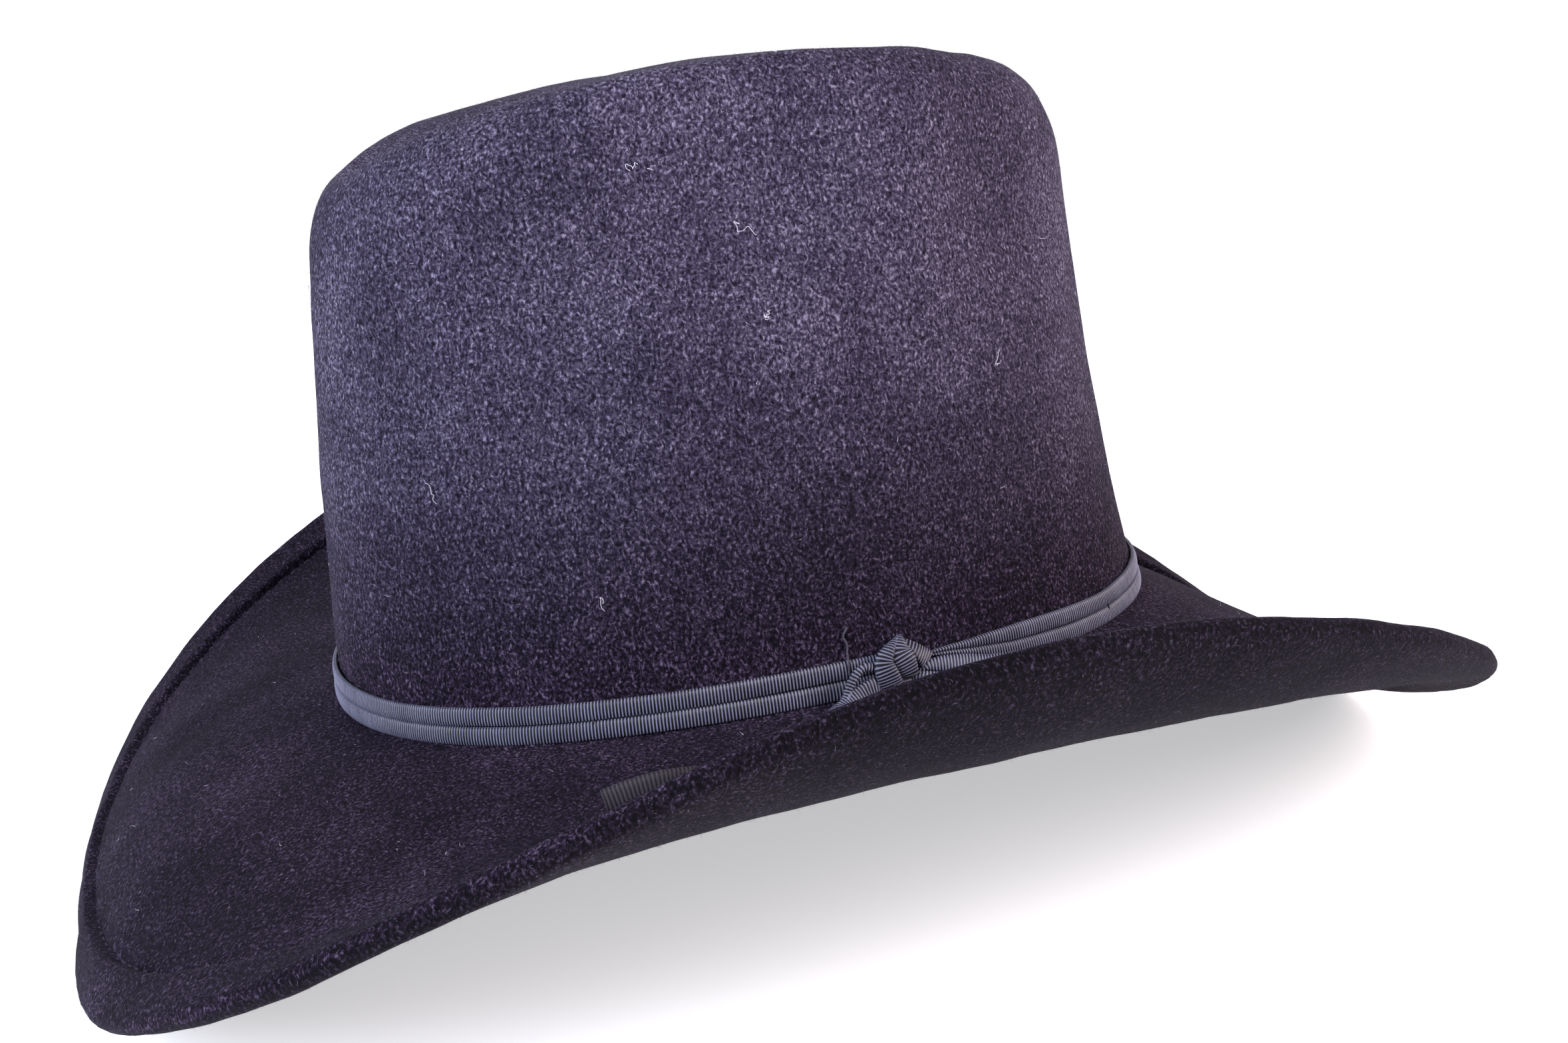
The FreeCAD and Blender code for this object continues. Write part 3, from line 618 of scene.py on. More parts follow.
# straps of the same ribbon, each between two edges of (angle, height, out from the crown)
knot = {
    "pitch": 0.72, "thickness": 0.85, "spacing": 0.15,
    "core": ([(92.0, 1.2, 2.0), (92.2, 6.0, 2.6), (92.6, 11.0, 1.6)],
             [(96.0, 1.2, 2.0), (95.8, 6.0, 2.6), (95.4, 11.0, 1.6)]),
    "wrapLeft": ([(91.5, 0.6, 1.9), (91.0, 1.6, 3.2), (90.4, 5.6, 5.0), (90.4, 8.7, 5.0), (91.7, 11.0, 4.0),
                  (94.0, 12.3, 1.8), (94.5, 11.8, 0.8)],
                 [(93.9, 0.4, 1.9), (93.9, 1.3, 3.2), (93.0, 5.2, 5.6), (92.5, 8.9, 5.8), (93.1, 11.0, 4.9),
                  (94.5, 12.4, 2.2), (95.0, 11.8, 0.8)]),
    "wrapRight": ([(93.4, 4.4, 2.6), (93.3, 5.3, 4.0), (92.6, 8.3, 5.0), (92.4, 10.2, 4.6), (93.3, 11.8, 3.5),
                   (94.4, 12.5, 1.9), (94.8, 12.0, 0.8)],
                  [(95.7, 4.2, 2.6), (95.6, 5.2, 4.2), (95.3, 8.0, 5.2), (95.0, 10.3, 4.8), (94.9, 11.6, 3.6),
                   (94.9, 12.5, 1.8), (95.2, 12.0, 0.8)]),
    "shoulder": ([(94.5, 12.3, 0.9), (95.6, 11.5, 1.9), (96.8, 10.2, 2.3), (98.3, 8.0, 1.9)],
                 [(94.3, 11.0, 3.0), (95.2, 9.6, 3.8), (95.8, 7.3, 3.9), (96.4, 4.9, 2.9)]),
    "twist": ([(91.8, 8.6, 3.0), (90.5, 8.9, 4.0), (89.3, 9.3, 4.4), (87.9, 8.2, 4.6), (86.8, 5.9, 5.0),
               (85.9, 3.8, 6.2), (84.8, 2.4, 7.6)],
              [(91.8, 7.0, 3.2), (90.5, 7.0, 4.2), (89.1, 7.7, 4.9), (88.2, 6.6, 5.4), (87.3, 4.6, 5.8),
               (86.6, 2.6, 6.6), (85.6, 1.6, 8.0)]),
    "lower": ([(95.2, 5.0, 2.4), (96.0, 4.8, 3.2), (96.9, 4.4, 4.0), (98.3, 3.8, 5.2), (100.2, 3.1, 7.0),
               (103.6, 2.6, 9.4)],
              [(95.2, 1.8, 2.8), (95.9, 1.6, 4.0), (96.8, 1.3, 5.4), (98.0, 1.0, 7.0), (99.7, 0.9, 9.4),
               (103.4, 1.0, 11.6)]),
    "leaf": ([(95.6, 5.6, 1.9), (96.5, 5.1, 2.6), (97.5, 6.4, 2.8), (99.1, 6.8, 3.2), (101.1, 6.4, 3.8),
              (103.2, 5.6, 4.6), (104.9, 4.9, 5.6), (108.0, 4.3, 7.0), (111.5, 4.0, 8.4)],
             [(95.6, 5.0, 2.1), (96.4, 4.5, 2.8), (97.1, 4.4, 3.4), (98.5, 3.8, 4.0), (100.4, 3.2, 4.8),
              (102.4, 2.4, 5.6), (104.1, 1.9, 6.6), (107.2, 1.8, 8.2), (110.6, 1.9, 9.8)]),
}


def strapBetween(name, edges):
    first, last = (np.array([wallAt(math.radians(a), h, o) for a, h, o in edge]) for edge in edges)
    path = evenPath(np.concatenate([(first + last) / 2, last - first], -1), knot["spacing"])
    centres, spread = path[:, :3], path[:, 3:]
    widths = np.linalg.norm(spread, axis=-1)
    ahead = unit(np.gradient(centres, axis=0))
    across = unit(spread - ahead * (spread * ahead).sum(-1, keepdims=True))
    out = np.cross(ahead, across)
    if (out * [1, 0, 0]).sum() < 0:  # the ribbed face looks away from the crown
        across, out = -across, -out
    return ribbedStrip(name, centres, across, out, widths, knot["pitch"], knot["thickness"], dome=0.15,
                       ribHeight=band["relief"])


wraps = [strapBetween(part, knot[part]) for part in ("core", "wrapRight", "shoulder", "wrapLeft", "twist")]
finishPiece(joinPieces("knotWraps", wraps), ribbonMaterial, "grosgrain", "hatband_knot")
finishPiece(strapBetween("shortEnd", knot["lower"]), ribbonMaterial, "grosgrain", "hatband_short_end")
finishPiece(strapBetween("backTail", knot["leaf"]), ribbonMaterial, "grosgrain", "hatband_tail_back")

# the free end runs from the knot, across the brim, to the folded edge
# past the first share of its length given below, the tail turns darker and duller
frontTail = {"width": 4.2, "thickness": 0.9, "plainShare": 0.35,
             "wall": [(91.8, 3.5, 2.2), (90.9, 3.6, 3.6), (90.0, 3.8, 4.7), (88.9, 3.5, 5.4), (87.5, 2.6, 6.4),
                      (86.4, 2.0, 7.6)],
             "wallSide": [(0, 0, -1), (0, 0, -1), (0.1, 0.25, -1), (0.1, 0.46, -0.89), (0.4, 1.2, -1.4),
                          (0.6, 1.6, -0.9)],
             "brim": [(84.6, 9.6, 1.9), (82.0, 15.0, 1.7), (78.5, 25.0, 1.5), (75.5, 37.0, 1.5),
                      (73.5, 49.0, 1.8)],
             "brimSide": (0.75, 0.65, 0.1),
             "edge": [(71.8, 22.0, 3.0), (70.3, 14.5, 4.6), (68.4, 10.5, 5.2), (66.7, 9.0, 5.4),
                      (65.0, 8.5, 5.4)],
             "edgeSide": (0.25, -0.1, -1)}


def ribbonAlong(name, places, width, thickness):
    path = evenPath(places, knot["spacing"])
    centres = path[:, :3]
    ahead = unit(np.gradient(centres, axis=0))
    across = unit(path[:, 3:] - ahead * (path[:, 3:] * ahead).sum(-1, keepdims=True))
    out = np.cross(ahead, across)
    return ribbedStrip(name, centres, across, out, np.full(len(centres), width), knot["pitch"], thickness, dome=0.1,
                       ribHeight=band["relief"])


def onBrim(angle, reach, lift):
    turn = np.array([math.radians(angle)])
    return brimPoint(turn, np.array([reach]), np.array([brim["felt"] / 2 + lift]))[0]


tailPlaces = [(*wallAt(math.radians(angle), height, out), *side)
              for (angle, height, out), side in zip(frontTail["wall"], frontTail["wallSide"])]
tailPlaces += [(*onBrim(*place), *frontTail["brimSide"]) for place in frontTail["brim"]]
tailPlaces += [(*onBrim(angle, float(brimReach(math.radians(angle))) - inset, lift), *frontTail["edgeSide"])
               for angle, inset, lift in frontTail["edge"]]
tailStrip = ribbonAlong("frontTail", tailPlaces, frontTail["width"], frontTail["thickness"])
tailPiece = finishPiece(tailStrip, ribbonMaterial, "grosgrain", "hatband_tail_front")
tailPiece.data.materials.append(dullRibbonMaterial)  # its end is darker and duller
sides = len(ribbonOutline)
for face in tailPiece.data.polygons:
    darkDull = face.index // sides > len(tailPiece.data.polygons) / sides * frontTail["plainShare"]
    face.material_index = 1 if darkDull else 0
print("knot and tails made")


def tubeAlong(name, centres, radius, sides=6):
    count = len(centres)
    radii = np.broadcast_to(radius, (count,))
    ahead = unit(np.gradient(centres, axis=0))
    first = unit(np.cross(ahead, [0.37, 0.21, 0.9]))
    second = np.cross(ahead, first)
    swing = ringTurns(sides)
    spokes = first[:, None] * np.cos(swing)[None, :, None] + second[:, None] * np.sin(swing)[None, :, None]
    ringsHere = centres[:, None] + radii[:, None, None] * spokes
    return makePiece(name, ringsHere.reshape(-1, 3), gridFaces(count, sides, False, True) + endCaps(count, sides))


def ringTube(name, centres, radius, sides=8):
    ahead = unit(np.roll(centres, -1, 0) - np.roll(centres, 1, 0))
    first = unit(np.cross(ahead, [0.0, 0.0, 1.0]))
    second = np.cross(ahead, first)
    swing = ringTurns(sides)
    spokes = first[:, None] * np.cos(swing)[None, :, None] + second[:, None] * np.sin(swing)[None, :, None]
    points = centres[:, None] + radius * spokes
    return makePiece(name, points.reshape(-1, 3), gridFaces(len(centres), sides, True, True))


looseThread = {"ply": 0.12, "twist": 0.85, "path": [(87.8, 7.0, 1.65), (88.0, 9.3, 1.65), (88.1, 11.4, 1.1),
                                                    (88.3, 13.2, 0.8), (88.0, 15.0, 0.7), (88.6, 16.7, 0.8)]}


def twistedThread(name, centres, ply, twist):
    run = np.concatenate([[0], np.cumsum(np.linalg.norm(np.diff(centres, axis=0), axis=-1))])
    ahead = unit(np.gradient(centres, axis=0))
    first = unit(np.cross(ahead, [0.37, 0.21, 0.9]))
    second = np.cross(ahead, first)
    plies = []
    for start in (0.0, np.pi):
        swing = (start + run / twist * 2 * np.pi)[:, None]
        line = centres + ply * (first * np.cos(swing) + second * np.sin(swing))
        plies.append(tubeAlong(name + "Ply", line, ply * 1.12))  # the plies press into each other
    return joinPieces(name, plies)


threadPath = evenPath([wallAt(math.radians(a), h, o) for a, h, o in looseThread["path"]], 0.12)
threadPiece = twistedThread("looseThread", threadPath, looseThread["ply"], looseThread["twist"])
finishPiece(threadPiece, looseThreadMaterial, "thread", "loose_thread")


def runTree(name, base, tree, settings):
    # sets the modifier's inputs, then keeps its result as a plain mesh
    modifier = base.modifiers.new(name, "NODES")
    modifier.node_group = tree
    for item in tree.interface.items_tree:
        if item.in_out == "INPUT" and item.name in settings:
            modifier[item.identifier] = settings[item.name]
    mesh = bpy.data.meshes.new_from_object(base.evaluated_get(bpy.context.evaluated_depsgraph_get()))
    mesh.name = name
    piece = bpy.data.objects.new(name, mesh)
    bpy.context.scene.collection.objects.link(piece)
    bpy.data.objects.remove(base)
    return piece


def startTree(name, sockets):
    tree = bpy.data.node_groups.new(name, "GeometryNodeTree")
    tree.interface.new_socket("Geometry", in_out="INPUT", socket_type="NodeSocketGeometry")
    for label, kind in sockets.items():
        tree.interface.new_socket(label, in_out="INPUT", socket_type="NodeSocket" + kind)
    tree.interface.new_socket("Geometry", in_out="OUTPUT", socket_type="NodeSocketGeometry")
    return tree, addNode(tree, "NodeGroupInput").outputs


def endTree(tree, geometry, material):
    real = addNode(tree, "GeometryNodeRealizeInstances", links={"Geometry": geometry})
    dressed = addNode(tree, "GeometryNodeSetMaterial", links={"Geometry": real.outputs[0], "Material": material})
    addNode(tree, "NodeGroupOutput", links={"Geometry": dressed.outputs[0]})


def stitchTree():
    # one stitch: a thread that comes up, lies along the work and goes down again
    tree, given = startTree("stitchRow", {"length": "Float", "rise": "Float", "radius": "Float",
                                          "material": "Material"})
    ends = [addNode(tree, "ShaderNodeMath", {1: share}, {0: given[size]}, operation="MULTIPLY").outputs[0]
            for share, size in ((0.5, "length"), (-0.5, "length"), (-1.0, "rise"))]
    half, minus, sink = ends
    first = addNode(tree, "ShaderNodeCombineXYZ", links={"X": minus, "Z": sink})
    top = addNode(tree, "ShaderNodeCombineXYZ", links={"Z": given["rise"]})
    last = addNode(tree, "ShaderNodeCombineXYZ", links={"X": half, "Z": sink})
    line = addNode(tree, "GeometryNodeCurveQuadraticBezier", {"Resolution": 6},
                   {"Start": first.outputs[0], "Middle": top.outputs[0], "End": last.outputs[0]})
    section = addNode(tree, "GeometryNodeCurvePrimitiveCircle", {"Resolution": 6}, {"Radius": given["radius"]})
    stitch = addNode(tree, "GeometryNodeCurveToMesh", {"Fill Caps": True},
                     {"Curve": line.outputs[0], "Profile Curve": section.outputs[0]})
    along = addNode(tree, "GeometryNodeInputNamedAttribute", {"Name": "along"}, data_type="FLOAT_VECTOR")
    lift = addNode(tree, "GeometryNodeInputNamedAttribute", {"Name": "lift"}, data_type="FLOAT_VECTOR")
    aimed = addNode(tree, "FunctionNodeAlignRotationToVector", links={"Vector": along.outputs[0]}, axis="X")
    turned = addNode(tree, "FunctionNodeAlignRotationToVector",
                     links={"Rotation": aimed.outputs[0], "Vector": lift.outputs[0]}, axis="Z", pivot_axis="X")
    sown = addNode(tree, "GeometryNodeInstanceOnPoints",
                   links={"Points": given["Geometry"], "Instance": stitch.outputs[0], "Rotation": turned.outputs[0]})
    smooth = addNode(tree, "GeometryNodeSetShadeSmooth", links={"Geometry": sown.outputs[0]})
    endTree(tree, smooth.outputs[0], given["material"])
    return tree


stitchRow = stitchTree()


def sewRow(name, places, along, lift, settings, material, *nodes):
    base = makePiece(name + "Marks", places, [])
    for label, vectors in (("along", along), ("lift", lift)):
        layer = base.data.attributes.new(label, "FLOAT_VECTOR", "POINT")
        layer.data.foreach_set("vector", np.asarray(vectors, dtype=np.float32).ravel())
    sizes = {key: settings[key] * mm for key in ("length", "rise", "radius")}
    piece = runTree(name, base, stitchRow, {**sizes, "material": material})
    return finishPiece(piece, material, "thread", *nodes)


weltSeam = {"count": 210, "inset": 11.2, "sunk": 0.35, "length": 2.0, "rise": 0.3, "radius": 0.2}
bandSeam = {"count": 168, "height": 5.0, "depth": 5.45, "length": 2.4, "rise": 0.28, "radius": 0.2}
tacks = {"angles": (57.5, 131.0, 229.0, 302.5), "length": 3.0, "rise": 0.35, "radius": 0.17}
backSeam = {"count": 15, "depth": 5.4, "length": 2.6, "rise": 0.3, "radius": 0.17, "low": 3.0, "high": 39.0}

turn = ringTurns(weltSeam["count"])
seamReach = brimReach(turn) - weltSeam["inset"]
seamLift = np.full(len(turn), brim["felt"] / 2 - weltSeam["sunk"])
seamPlace = brimPoint(turn, seamReach, seamLift)
sewRow("weltStitches", seamPlace, aheadOf(brimPoint, turn, seamReach, seamLift),
       unit(brimPoint(turn, seamReach, seamLift + 1) - seamPlace), weltSeam, threadMaterial, "welt_seam_thread")

turn = ringTurns(bandSeam["count"])
height, depth = bandSeam["height"], bandSeam["depth"]
seamPlace = wallAt(turn, height, -depth)
sewRow("sweatbandStitches", seamPlace, aheadOf(wallAt, turn, height, -depth),
       unit(wallAt(turn, height, -6.5) - seamPlace), bandSeam, threadMaterial, "sweatband_stitching")

turn = np.radians(tacks["angles"])
height = np.interp(np.degrees(turn), [row[0] for row in band["squeeze"]], [row[2] for row in band["squeeze"]])
tackPlace = wallAt(turn, height, band["outer"] + 0.15)
sewRow("bandTacks", tackPlace, unit(wallAt(turn, height + 1, 1.3) - wallAt(turn, height - 1, 1.3)),
       unit(wallAt(turn, height, 3.0) - tackPlace), tacks, threadMaterial, "hatband_tacks")
print("stitches sewn")


def insideSheet(name, placeOf, steps, outer, inner, closedTop=False, columns=360):
    # a sheet along the inside of the crown; outer and inner give its two faces' depths for a turn and a step
    turn = ringTurns(columns)
    outside = [placeOf(turn, step, -outer(turn, step)) for step in steps]
    inside = [placeOf(turn, step, -inner(turn, step)) for step in steps]
    rows = outside + inside[::-1]
    if not closedTop:
        rim = (outside[-1] * 0.5 + inside[-1] * 0.5) + (outside[-1] - outside[-2]) * 0.12
        foot = (outside[0] * 0.5 + inside[0] * 0.5) + (outside[0] - outside[1]) * 0.12
        rows = outside + [rim] + inside[::-1] + [foot]
    faces = gridFaces(len(rows), columns, not closedTop, True)
    points = np.array(rows).reshape(-1, 3)
    if closedTop:
        # the middle of each face is closed by a fan, the outer rim by a strip
        lastOut, firstIn = len(outside) - 1, len(outside)
        faces = [face for index, face in enumerate(faces) if index // columns != lastOut]
        points = np.concatenate([points, [outside[-1].mean(0), inside[-1].mean(0)]])
        lastRow = (len(rows) - 1) * columns
        for column in range(columns):
            following = (column + 1) % columns
            faces.append((lastOut * columns + column, lastOut * columns + following, len(points) - 2))
            faces.append((firstIn * columns + following, firstIn * columns + column, len(points) - 1))
            faces.append((lastRow + column, lastRow + following, following, column))
    return makePiece(name, points, faces)


sweatband = {"bottom": 1.45, "top": 41.7, "roundedFrom": 41.0, "outer": 4.4, "inner": 5.35, "wave": 0.22,
             "lines": (37.6, 38.8), "press": 0.13}


def leatherWave(turn, height):
    wave = np.sin(5 * turn + 0.7) * 0.5 + np.sin(11 * turn + 2.1 + height * 0.03) * 0.3 + np.sin(23 * turn) * 0.2
    seam = np.exp(-((np.degrees(turn) - 180.0) / 0.55) ** 2)
    return wave * sweatband["wave"] * min(1.0, height / 30.0) - 0.35 * seam


def leatherInner(turn, height):
    pressed = sum(math.exp(-((height - line) / 0.3) ** 2) for line in sweatband["lines"])
    rounded = 0.25 * max(0.0, (height - sweatband["roundedFrom"]) / (sweatband["top"] - sweatband["roundedFrom"]))
    return sweatband["inner"] + leatherWave(turn, height) - sweatband["press"] * pressed - rounded


leatherSteps = np.concatenate([np.linspace(sweatband["bottom"], 36.5, 16), np.linspace(37.0, 39.4, 13),
                               np.linspace(40.0, sweatband["top"], 5)])  # closer rows at the pressed lines
leatherPiece = insideSheet("sweatbandLeather", wallAt, leatherSteps,
                           lambda turn, h: sweatband["outer"] + leatherWave(turn, h) * 0.8, leatherInner, columns=720)
finishPiece(leatherPiece, leatherMaterial, "sweatband_leather", "sweatband")

seamHeights = np.linspace(backSeam["low"], backSeam["high"], backSeam["count"])
seamPlace = wallAt(np.full(backSeam["count"], np.pi), seamHeights, -backSeam["depth"])
zigzag = np.where(np.arange(backSeam["count"]) % 2 == 0, 1.0, -1.0)
seamAlong = unit(np.stack([np.ones_like(zigzag), 0 * zigzag, zigzag * 1.1], -1))
seamLift = np.tile([0.0, -1.0, 0.0], (backSeam["count"], 1))
sewRow("sweatbandBackSeam", seamPlace, seamAlong, seamLift, backSeam, threadMaterial)

tape = {"bottom": 1.7, "top": 11.9, "outer": 3.52, "inner": 3.88, "waver": 0.03}
tapePiece = insideSheet("reedTape", wallAt, np.linspace(tape["bottom"], tape["top"], 9),
                        lambda turn, height: tape["outer"] + tape["waver"] * np.sin(31 * turn + height),
                        lambda turn, height: tape["inner"] + tape["waver"] * np.sin(31 * turn + height))
finishPiece(tapePiece, tapeMaterial, "cotton_tape", "reed_tape")

# low, seam and the tip's places are stations up the crown, as crownSkin takes them
lining = {"low": 0.19, "seam": 0.885, "outer": 3.25, "cloth": 0.35, "pleats": 58, "depth": 0.7}
tip = {"low": 0.90, "outer": 3.3, "inner": 3.75, "pucker": 0.45, "piping": 0.893, "pipingDepth": 4.1,
       "pipingRadius": 0.75}
liningColumns = 720


def liningFold(turn, station):
    # gathers: tight where the side meets the tip, almost flat behind the leather
    share = (station - lining["low"]) / (lining["seam"] - lining["low"])
    phase = lining["pleats"] * turn + 1.6 * np.sin(7 * turn) + 0.9 * np.sin(17 * turn + 1.0)
    return (0.5 + 0.5 * np.sin(phase)) ** 1.5 * lining["depth"] * (0.12 + 0.88 * share ** 1.6)


liningPiece = insideSheet("liningSide", crownPointAt, np.linspace(lining["low"], lining["seam"], 26),
                          lambda turn, s: lining["outer"] + liningFold(turn, s),
                          lambda turn, s: lining["outer"] + lining["cloth"] + liningFold(turn, s),
                          columns=liningColumns)
finishPiece(liningPiece, satinMaterial, "lining_satin", "lining_side_band")


def tipPucker(turn, station):
    fade = max(0.0, 1 - (station - tip["low"]) / 0.2) ** 2
    return tip["pucker"] * fade * (0.5 + 0.5 * np.sin(96 * turn + 2 * np.sin(9 * turn)))


tipSteps = np.concatenate([np.linspace(tip["low"], 1.0, 6), np.linspace(1.03, 1.955, 24)])
tipPiece = insideSheet("liningTip", crownPointAt, tipSteps, lambda turn, s: tip["outer"] + tipPucker(turn, s),
                       lambda turn, s: tip["inner"] + tipPucker(turn, s), closedTop=True, columns=liningColumns)
pipingLine = crownPointAt(ringTurns(liningColumns), tip["piping"], np.full(liningColumns, -tip["pipingDepth"]))
piping = ringTube("liningPiping", pipingLine, tip["pipingRadius"])
liningTip = finishPiece(joinPieces("liningTipPiped", [tipPiece, piping]), satinMaterial, "lining_satin", "lining_tip")


# the little bow at the back of the sweatband
bow = {"height": 9.0, "width": 4.6, "thin": 2.0, "reach": 9.4, "puff": 1.5, "thickness": 0.35, "rib": 0.5,
       "roundRadius": 96.0}


def bowPlace(along, up, depth):
    turn = math.pi + along / bow["roundRadius"]
    return wallAt(turn, bow["height"] + up, -(sweatband["inner"] + 0.45 + depth))


def bowStrip(name, line, side):
    path = evenPath([(*bowPlace(*place), *side, width) for *place, width in line], knot["spacing"])
    centres = path[:, :3]
    ahead = unit(np.gradient(centres, axis=0))
    across = unit(path[:, 3:6] - ahead * (path[:, 3:6] * ahead).sum(-1, keepdims=True))
    return ribbedStrip(name, centres, across, np.cross(ahead, across), path[:, 6], bow["rib"], bow["thickness"],
                       dome=0.0, ribHeight=0.05)


# each line of the bow is (along, up, depth, width)
bowParts = []
for side in (-1, 1):
    reach, wide, thin, puff = side * bow["reach"], bow["width"], bow["thin"], bow["puff"]
    loop = [(0, 0, 0.5, thin), (reach * 0.3, 0.1, 0.2, wide * 0.8), (reach * 0.7, 0.2, 0.25, wide),
            (reach * 0.97, 0.2, puff * 0.55, wide), (reach * 0.7, 0.2, puff + 0.2, wide),
            (reach * 0.3, 0.1, puff, wide * 0.8), (0, 0, 1.2, thin)]
    bowParts.append(bowStrip("bowLoop", loop, (0.0, 0.0, 1.0)))
    tail = [(0, 0, 0.8, thin), (side * 2.2, -2.2, 0.7, 2.8), (side * 4.4, -4.8, 0.5, 3.0),
            (side * 6.0, -7.0, 0.6, 3.0)]
    bowParts.append(bowStrip("bowTail", tail, (side * 0.8, 0.0, 0.6)))
wrap = [(0, -2.0, 0.2, 2.6), (0, -2.1, 1.2, 3.0), (0, -1.0, 2.1, 3.2), (0, 1.0, 2.1, 3.2), (0, 2.1, 1.2, 3.0),
        (0, 2.0, 0.2, 2.6)]
bowParts.append(bowStrip("bowKnot", wrap, (1, 0, 0)))
finishPiece(joinPieces("sweatbandBow", bowParts), ribbonMaterial, "grosgrain", "sweatband_bow")
print("inside made")


# short wool fibres that stand off the felt, and the specks caught in it
nap = {
    "crown": {"density": 0.19, "length": 0.75, "thickness": 0.024, "lean": 0.66, "curl": 0.5, "curlSize": 0.7},
    "brim": {"density": 0.15, "length": 0.7, "thickness": 0.024, "lean": 0.7, "curl": 0.5, "curlSize": 0.7},
    "edge": {"density": 0.35, "length": 0.7, "thickness": 0.024, "lean": 0.66, "curl": 0.5, "curlSize": 0.7},
    "specks": {"density": 0.004, "length": 1.1, "thickness": 0.045, "lean": 0.93, "curl": 1.0, "curlSize": 0.8},
}


def napTree():
    sizes = ("density", "length", "thickness", "lean", "curl", "curlSize")
    tree, given = startTree("napFibres", {**dict.fromkeys(sizes, "Float"), "seed": "Int", "material": "Material"})
    sown = addNode(tree, "GeometryNodeDistributePointsOnFaces",
                   links={"Mesh": given["Geometry"], "Density": given["density"], "Seed": given["seed"]})
    fibre = addNode(tree, "GeometryNodeMeshCone", {"Vertices": 3, "Side Segments": 2, "Radius Top": 0.0},
                    {"Radius Bottom": given["thickness"], "Depth": given["length"]}, fill_type="NGON")
    anyWay = addNode(tree, "FunctionNodeRandomValue", {"Min": (-1.0,) * 3, "Max": (1.0,) * 3},
                     {"Seed": given["seed"]}, data_type="FLOAT_VECTOR")
    leaned = addNode(tree, "ShaderNodeMix", data_type="VECTOR",
                     links={"Factor": given["lean"], 4: sown.outputs["Normal"], 5: anyWay.outputs[0]})
    turned = addNode(tree, "FunctionNodeAlignRotationToVector", links={"Vector": leaned.outputs[1]}, axis="Z")
    size = addNode(tree, "FunctionNodeRandomValue", {2: 0.4, 3: 1.5}, {"Seed": given["seed"]}, data_type="FLOAT")
    grown = addNode(tree, "GeometryNodeInstanceOnPoints",
                    links={"Points": sown.outputs[0], "Instance": fibre.outputs[0], "Rotation": turned.outputs[0],
                           "Scale": size.outputs[1]})
    real = addNode(tree, "GeometryNodeRealizeInstances", links={"Geometry": grown.outputs[0]})
    fine = addNode(tree, "ShaderNodeMath", {0: 1.0}, {1: given["curlSize"]}, operation="DIVIDE")
    sway = addNode(tree, "ShaderNodeTexNoise", {"Detail": 1.0}, {"Scale": fine.outputs[0]})
    centred = addNode(tree, "ShaderNodeVectorMath", {1: (-0.5,) * 3}, {0: sway.outputs["Color"]}, operation="ADD")
    shift = addNode(tree, "ShaderNodeVectorMath", links={0: centred.outputs[0], "Scale": given["curl"]},
                    operation="SCALE")
    bent = addNode(tree, "GeometryNodeSetPosition", links={"Geometry": real.outputs[0], "Offset": shift.outputs[0]})
    endTree(tree, bent.outputs[0], given["material"])
    return tree


napFibres = napTree()


def growNap(name, firstRing, lastRing, look, seed, material):
    # grows on a copy of the felt between two of its rows
    patch = feltPoints[firstRing * columnCount:(lastRing + 1) * columnCount]
    ground = [face[::-1] for face in gridFaces(lastRing - firstRing + 1, columnCount, False, True)]
    base = makePiece(name + "Ground", patch, ground)
    sizes = {key: look[key] * mm for key in ("length", "thickness", "curl", "curlSize")}
    piece = runTree(name, base, napFibres, {**sizes, "density": look["density"] / mm ** 2, "lean": look["lean"],
                                            "seed": seed, "material": material})
    return finishPiece(piece, material, "wool_felt")


crownRows, brimRows = (2, crownEnd - 1), (crownEnd + feltMesh["cornerRows"] - 1, brimEnd - 1)
growNap("crownNap", *crownRows, nap["crown"], 11, napMaterial)
growNap("brimNap", *brimRows, nap["brim"], 12, brimNapMaterial)
growNap("brimEdgeNap", brimEnd + 8, underStart - 3, nap["edge"], 13, brimNapMaterial)  # from the groove's outer side
growNap("brimUnderNap", underStart - 2, underEnd, nap["brim"], 14, brimNapMaterial)
growNap("crownSpecks", *crownRows, nap["specks"], 15, lintMaterial)
growNap("brimSpecks", *brimRows, nap["specks"], 16, lintMaterial)
print("nap grown")


# a little lint clings to the felt: each bit is (angle, height, size, seed)
lint = {"radius": 0.05, "steps": 60, "bend": 0.11, "lift": 0.25,
        "bits": [(83.0, 101.1, 9.0, 1), (84.0, 83.1, 4.0, 4), (36.5, 55.9, 4.0, 3), (69.6, 116.0, 4.5, 5),
                 (118.0, 66.0, 4.0, 6), (-8.0, 98.0, 6.0, 9), (60.0, 30.0, 3.0, 10), (182.0, 70.0, 4.0, 8)]}
lintBits = []
for angle, height, size, seed in lint["bits"]:
    start = wallAt(math.radians(angle), height, 0.6)
    way = unit(np.array([noise.noise_vector(Vector((seed * 3.7, step * lint["bend"], 1.9)))
                         for step in range(lint["steps"])]))
    walk = np.cumsum(way, 0) * size / (lint["steps"] / 2)
    outOf = unit(wallAt(math.radians(angle), height, 2.0) - start)
    walk = walk - walk.mean(0)
    walk -= (walk @ outOf)[:, None] * outOf * 0.8  # it lies almost flat
    lintBits.append(tubeAlong("lintBit", start + walk + outOf * lint["lift"], lint["radius"], 5))
finishPiece(joinPieces("clingingLint", lintBits), lintMaterial, "thread")


# the hard CAD pieces keep their shape and get their finish
finishes = {"brim_wire": steelMaterial, "sweatband_reed": reedMaterial, "tip_shield": filmMaterial}
for nodeName, material in finishes.items():
    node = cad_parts[nodeName]
    node.data.materials.clear()
    node.data.materials.append(material)


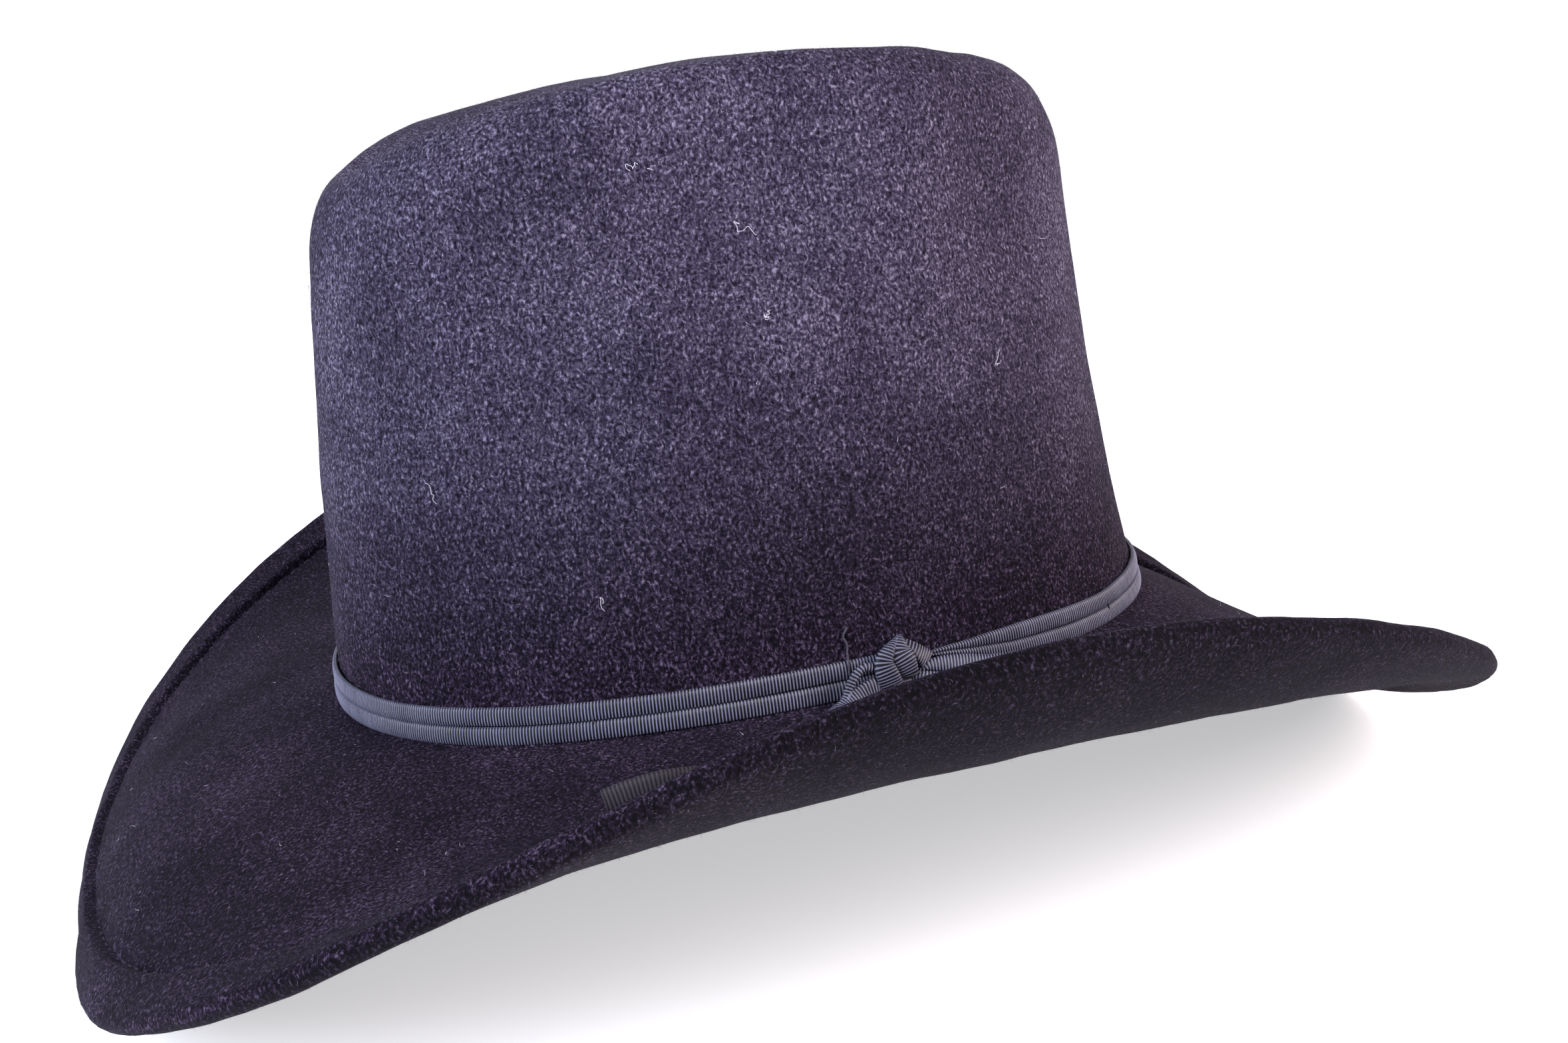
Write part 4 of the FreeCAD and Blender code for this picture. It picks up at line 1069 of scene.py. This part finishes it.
floorLook = {"size": 6.0, "colour": "#f4f4f6", "glow": 0.55}
floorColour = linearColour(floorLook["colour"])
floorMaterial, floorTree, floorShader, floorPlace = startMaterial("paintedStudioFloor", {
    "Base Color": floorColour, "Roughness": 0.8, "Emission Color": floorColour})
fromHat = addNode(floorTree, "ShaderNodeVectorMath", links={0: floorPlace}, operation="LENGTH")
glow = addNode(floorTree, "ShaderNodeMapRange",
               {"From Min": 0.35, "From Max": 1.4, "To Min": floorLook["glow"], "To Max": 1.0},
               {"Value": fromHat.outputs["Value"]})  # the far floor gets less light, so it glows more
floorTree.links.new(glow.outputs[0], floorShader.inputs["Emission Strength"])
halfFloor = floorLook["size"] / 2 / mm
lowest = cadLow.z / mm - 0.2
floorCorners = [(x * halfFloor, y * halfFloor, lowest) for x, y in ((-1, -1), (1, -1), (1, 1), (-1, 1))]
floor = makePiece("studioFloor", floorCorners, [(0, 1, 2, 3)])
floor.data.materials.append(floorMaterial)

world = bpy.data.worlds.new("studioAir")
bpy.context.scene.world = world
world.use_nodes = True
airTree = world.node_tree
sky = addNode(airTree, "ShaderNodeTexCoord")
skySplit = addNode(airTree, "ShaderNodeSeparateXYZ", links={0: sky.outputs["Generated"]})
skyTone = tonesFrom(airTree, skySplit.outputs["Z"], [(0.1, "#a8a8ac"), (0.6, "#55555c")])
seen = addNode(airTree, "ShaderNodeLightPath")
skyColour = addNode(airTree, "ShaderNodeMix", {7: (1.05, 1.05, 1.05, 1.0)},
                    {"Factor": seen.outputs["Is Camera Ray"], 6: skyTone}, data_type="RGBA")
airTree.links.new(skyColour.outputs[2], airTree.nodes["Background"].inputs["Color"])
airTree.nodes["Background"].inputs["Strength"].default_value = 1.0

lamps = {
    "frontSoftbox": {"place": (0.62, -1.02, 0.72), "size": 0.7, "power": 27.0, "colour": "#e8f0ff"},
    "backSoftbox": {"place": (0.80, 0.95, 0.62), "size": 0.7, "power": 24.0, "colour": "#fff0ee"},
    "farSoftbox": {"place": (-0.9, 0.2, 1.0), "size": 0.8, "power": 10.0, "colour": "#ffffff"},
}
for lampName, lamp in lamps.items():
    light = bpy.data.lights.new(lampName, "AREA")
    light.size, light.energy = lamp["size"], lamp["power"]
    light.color = linearColour(lamp["colour"])[:3]
    lampObject = bpy.data.objects.new(lampName, light)
    lampObject.location = lamp["place"]
    lampObject.rotation_euler = (Vector((0, 0, 0.05)) - Vector(lamp["place"])).to_track_quat("-Z", "Y").to_euler()
    bpy.context.scene.collection.objects.link(lampObject)

shot = {"azimuth": 71.67, "elevation": 13.56, "roll": -5.99, "distance": 0.45245, "target": (0, 0.01351, 0.02269),
        "lens": 40.454}
azimuth, elevation, roll = (math.radians(shot[key]) for key in ("azimuth", "elevation", "roll"))
level = math.cos(elevation)
back = Vector((math.sin(azimuth) * level, -math.cos(azimuth) * level, math.sin(elevation)))
right = Vector((0, 0, 1)).cross(back).normalized()
up = back.cross(right)
rolledRight = right * math.cos(roll) + up * math.sin(roll)
rolledUp = up * math.cos(roll) - right * math.sin(roll)
cameraData = bpy.data.cameras.new("shotCamera")
cameraData.lens, cameraData.sensor_width = shot["lens"], 36.0
cameraData.clip_start = 0.01
camera = bpy.data.objects.new("shotCamera", cameraData)
turnMatrix = Matrix((rolledRight, rolledUp, back)).transposed().to_4x4()
camera.matrix_world = Matrix.Translation(Vector(shot["target"]) + back * shot["distance"]) @ turnMatrix
bpy.context.scene.collection.objects.link(camera)
bpy.context.scene.camera = camera
bpy.context.scene.view_settings.view_transform = "Standard"  # plain colour, so a white floor stays white
print("stage set")
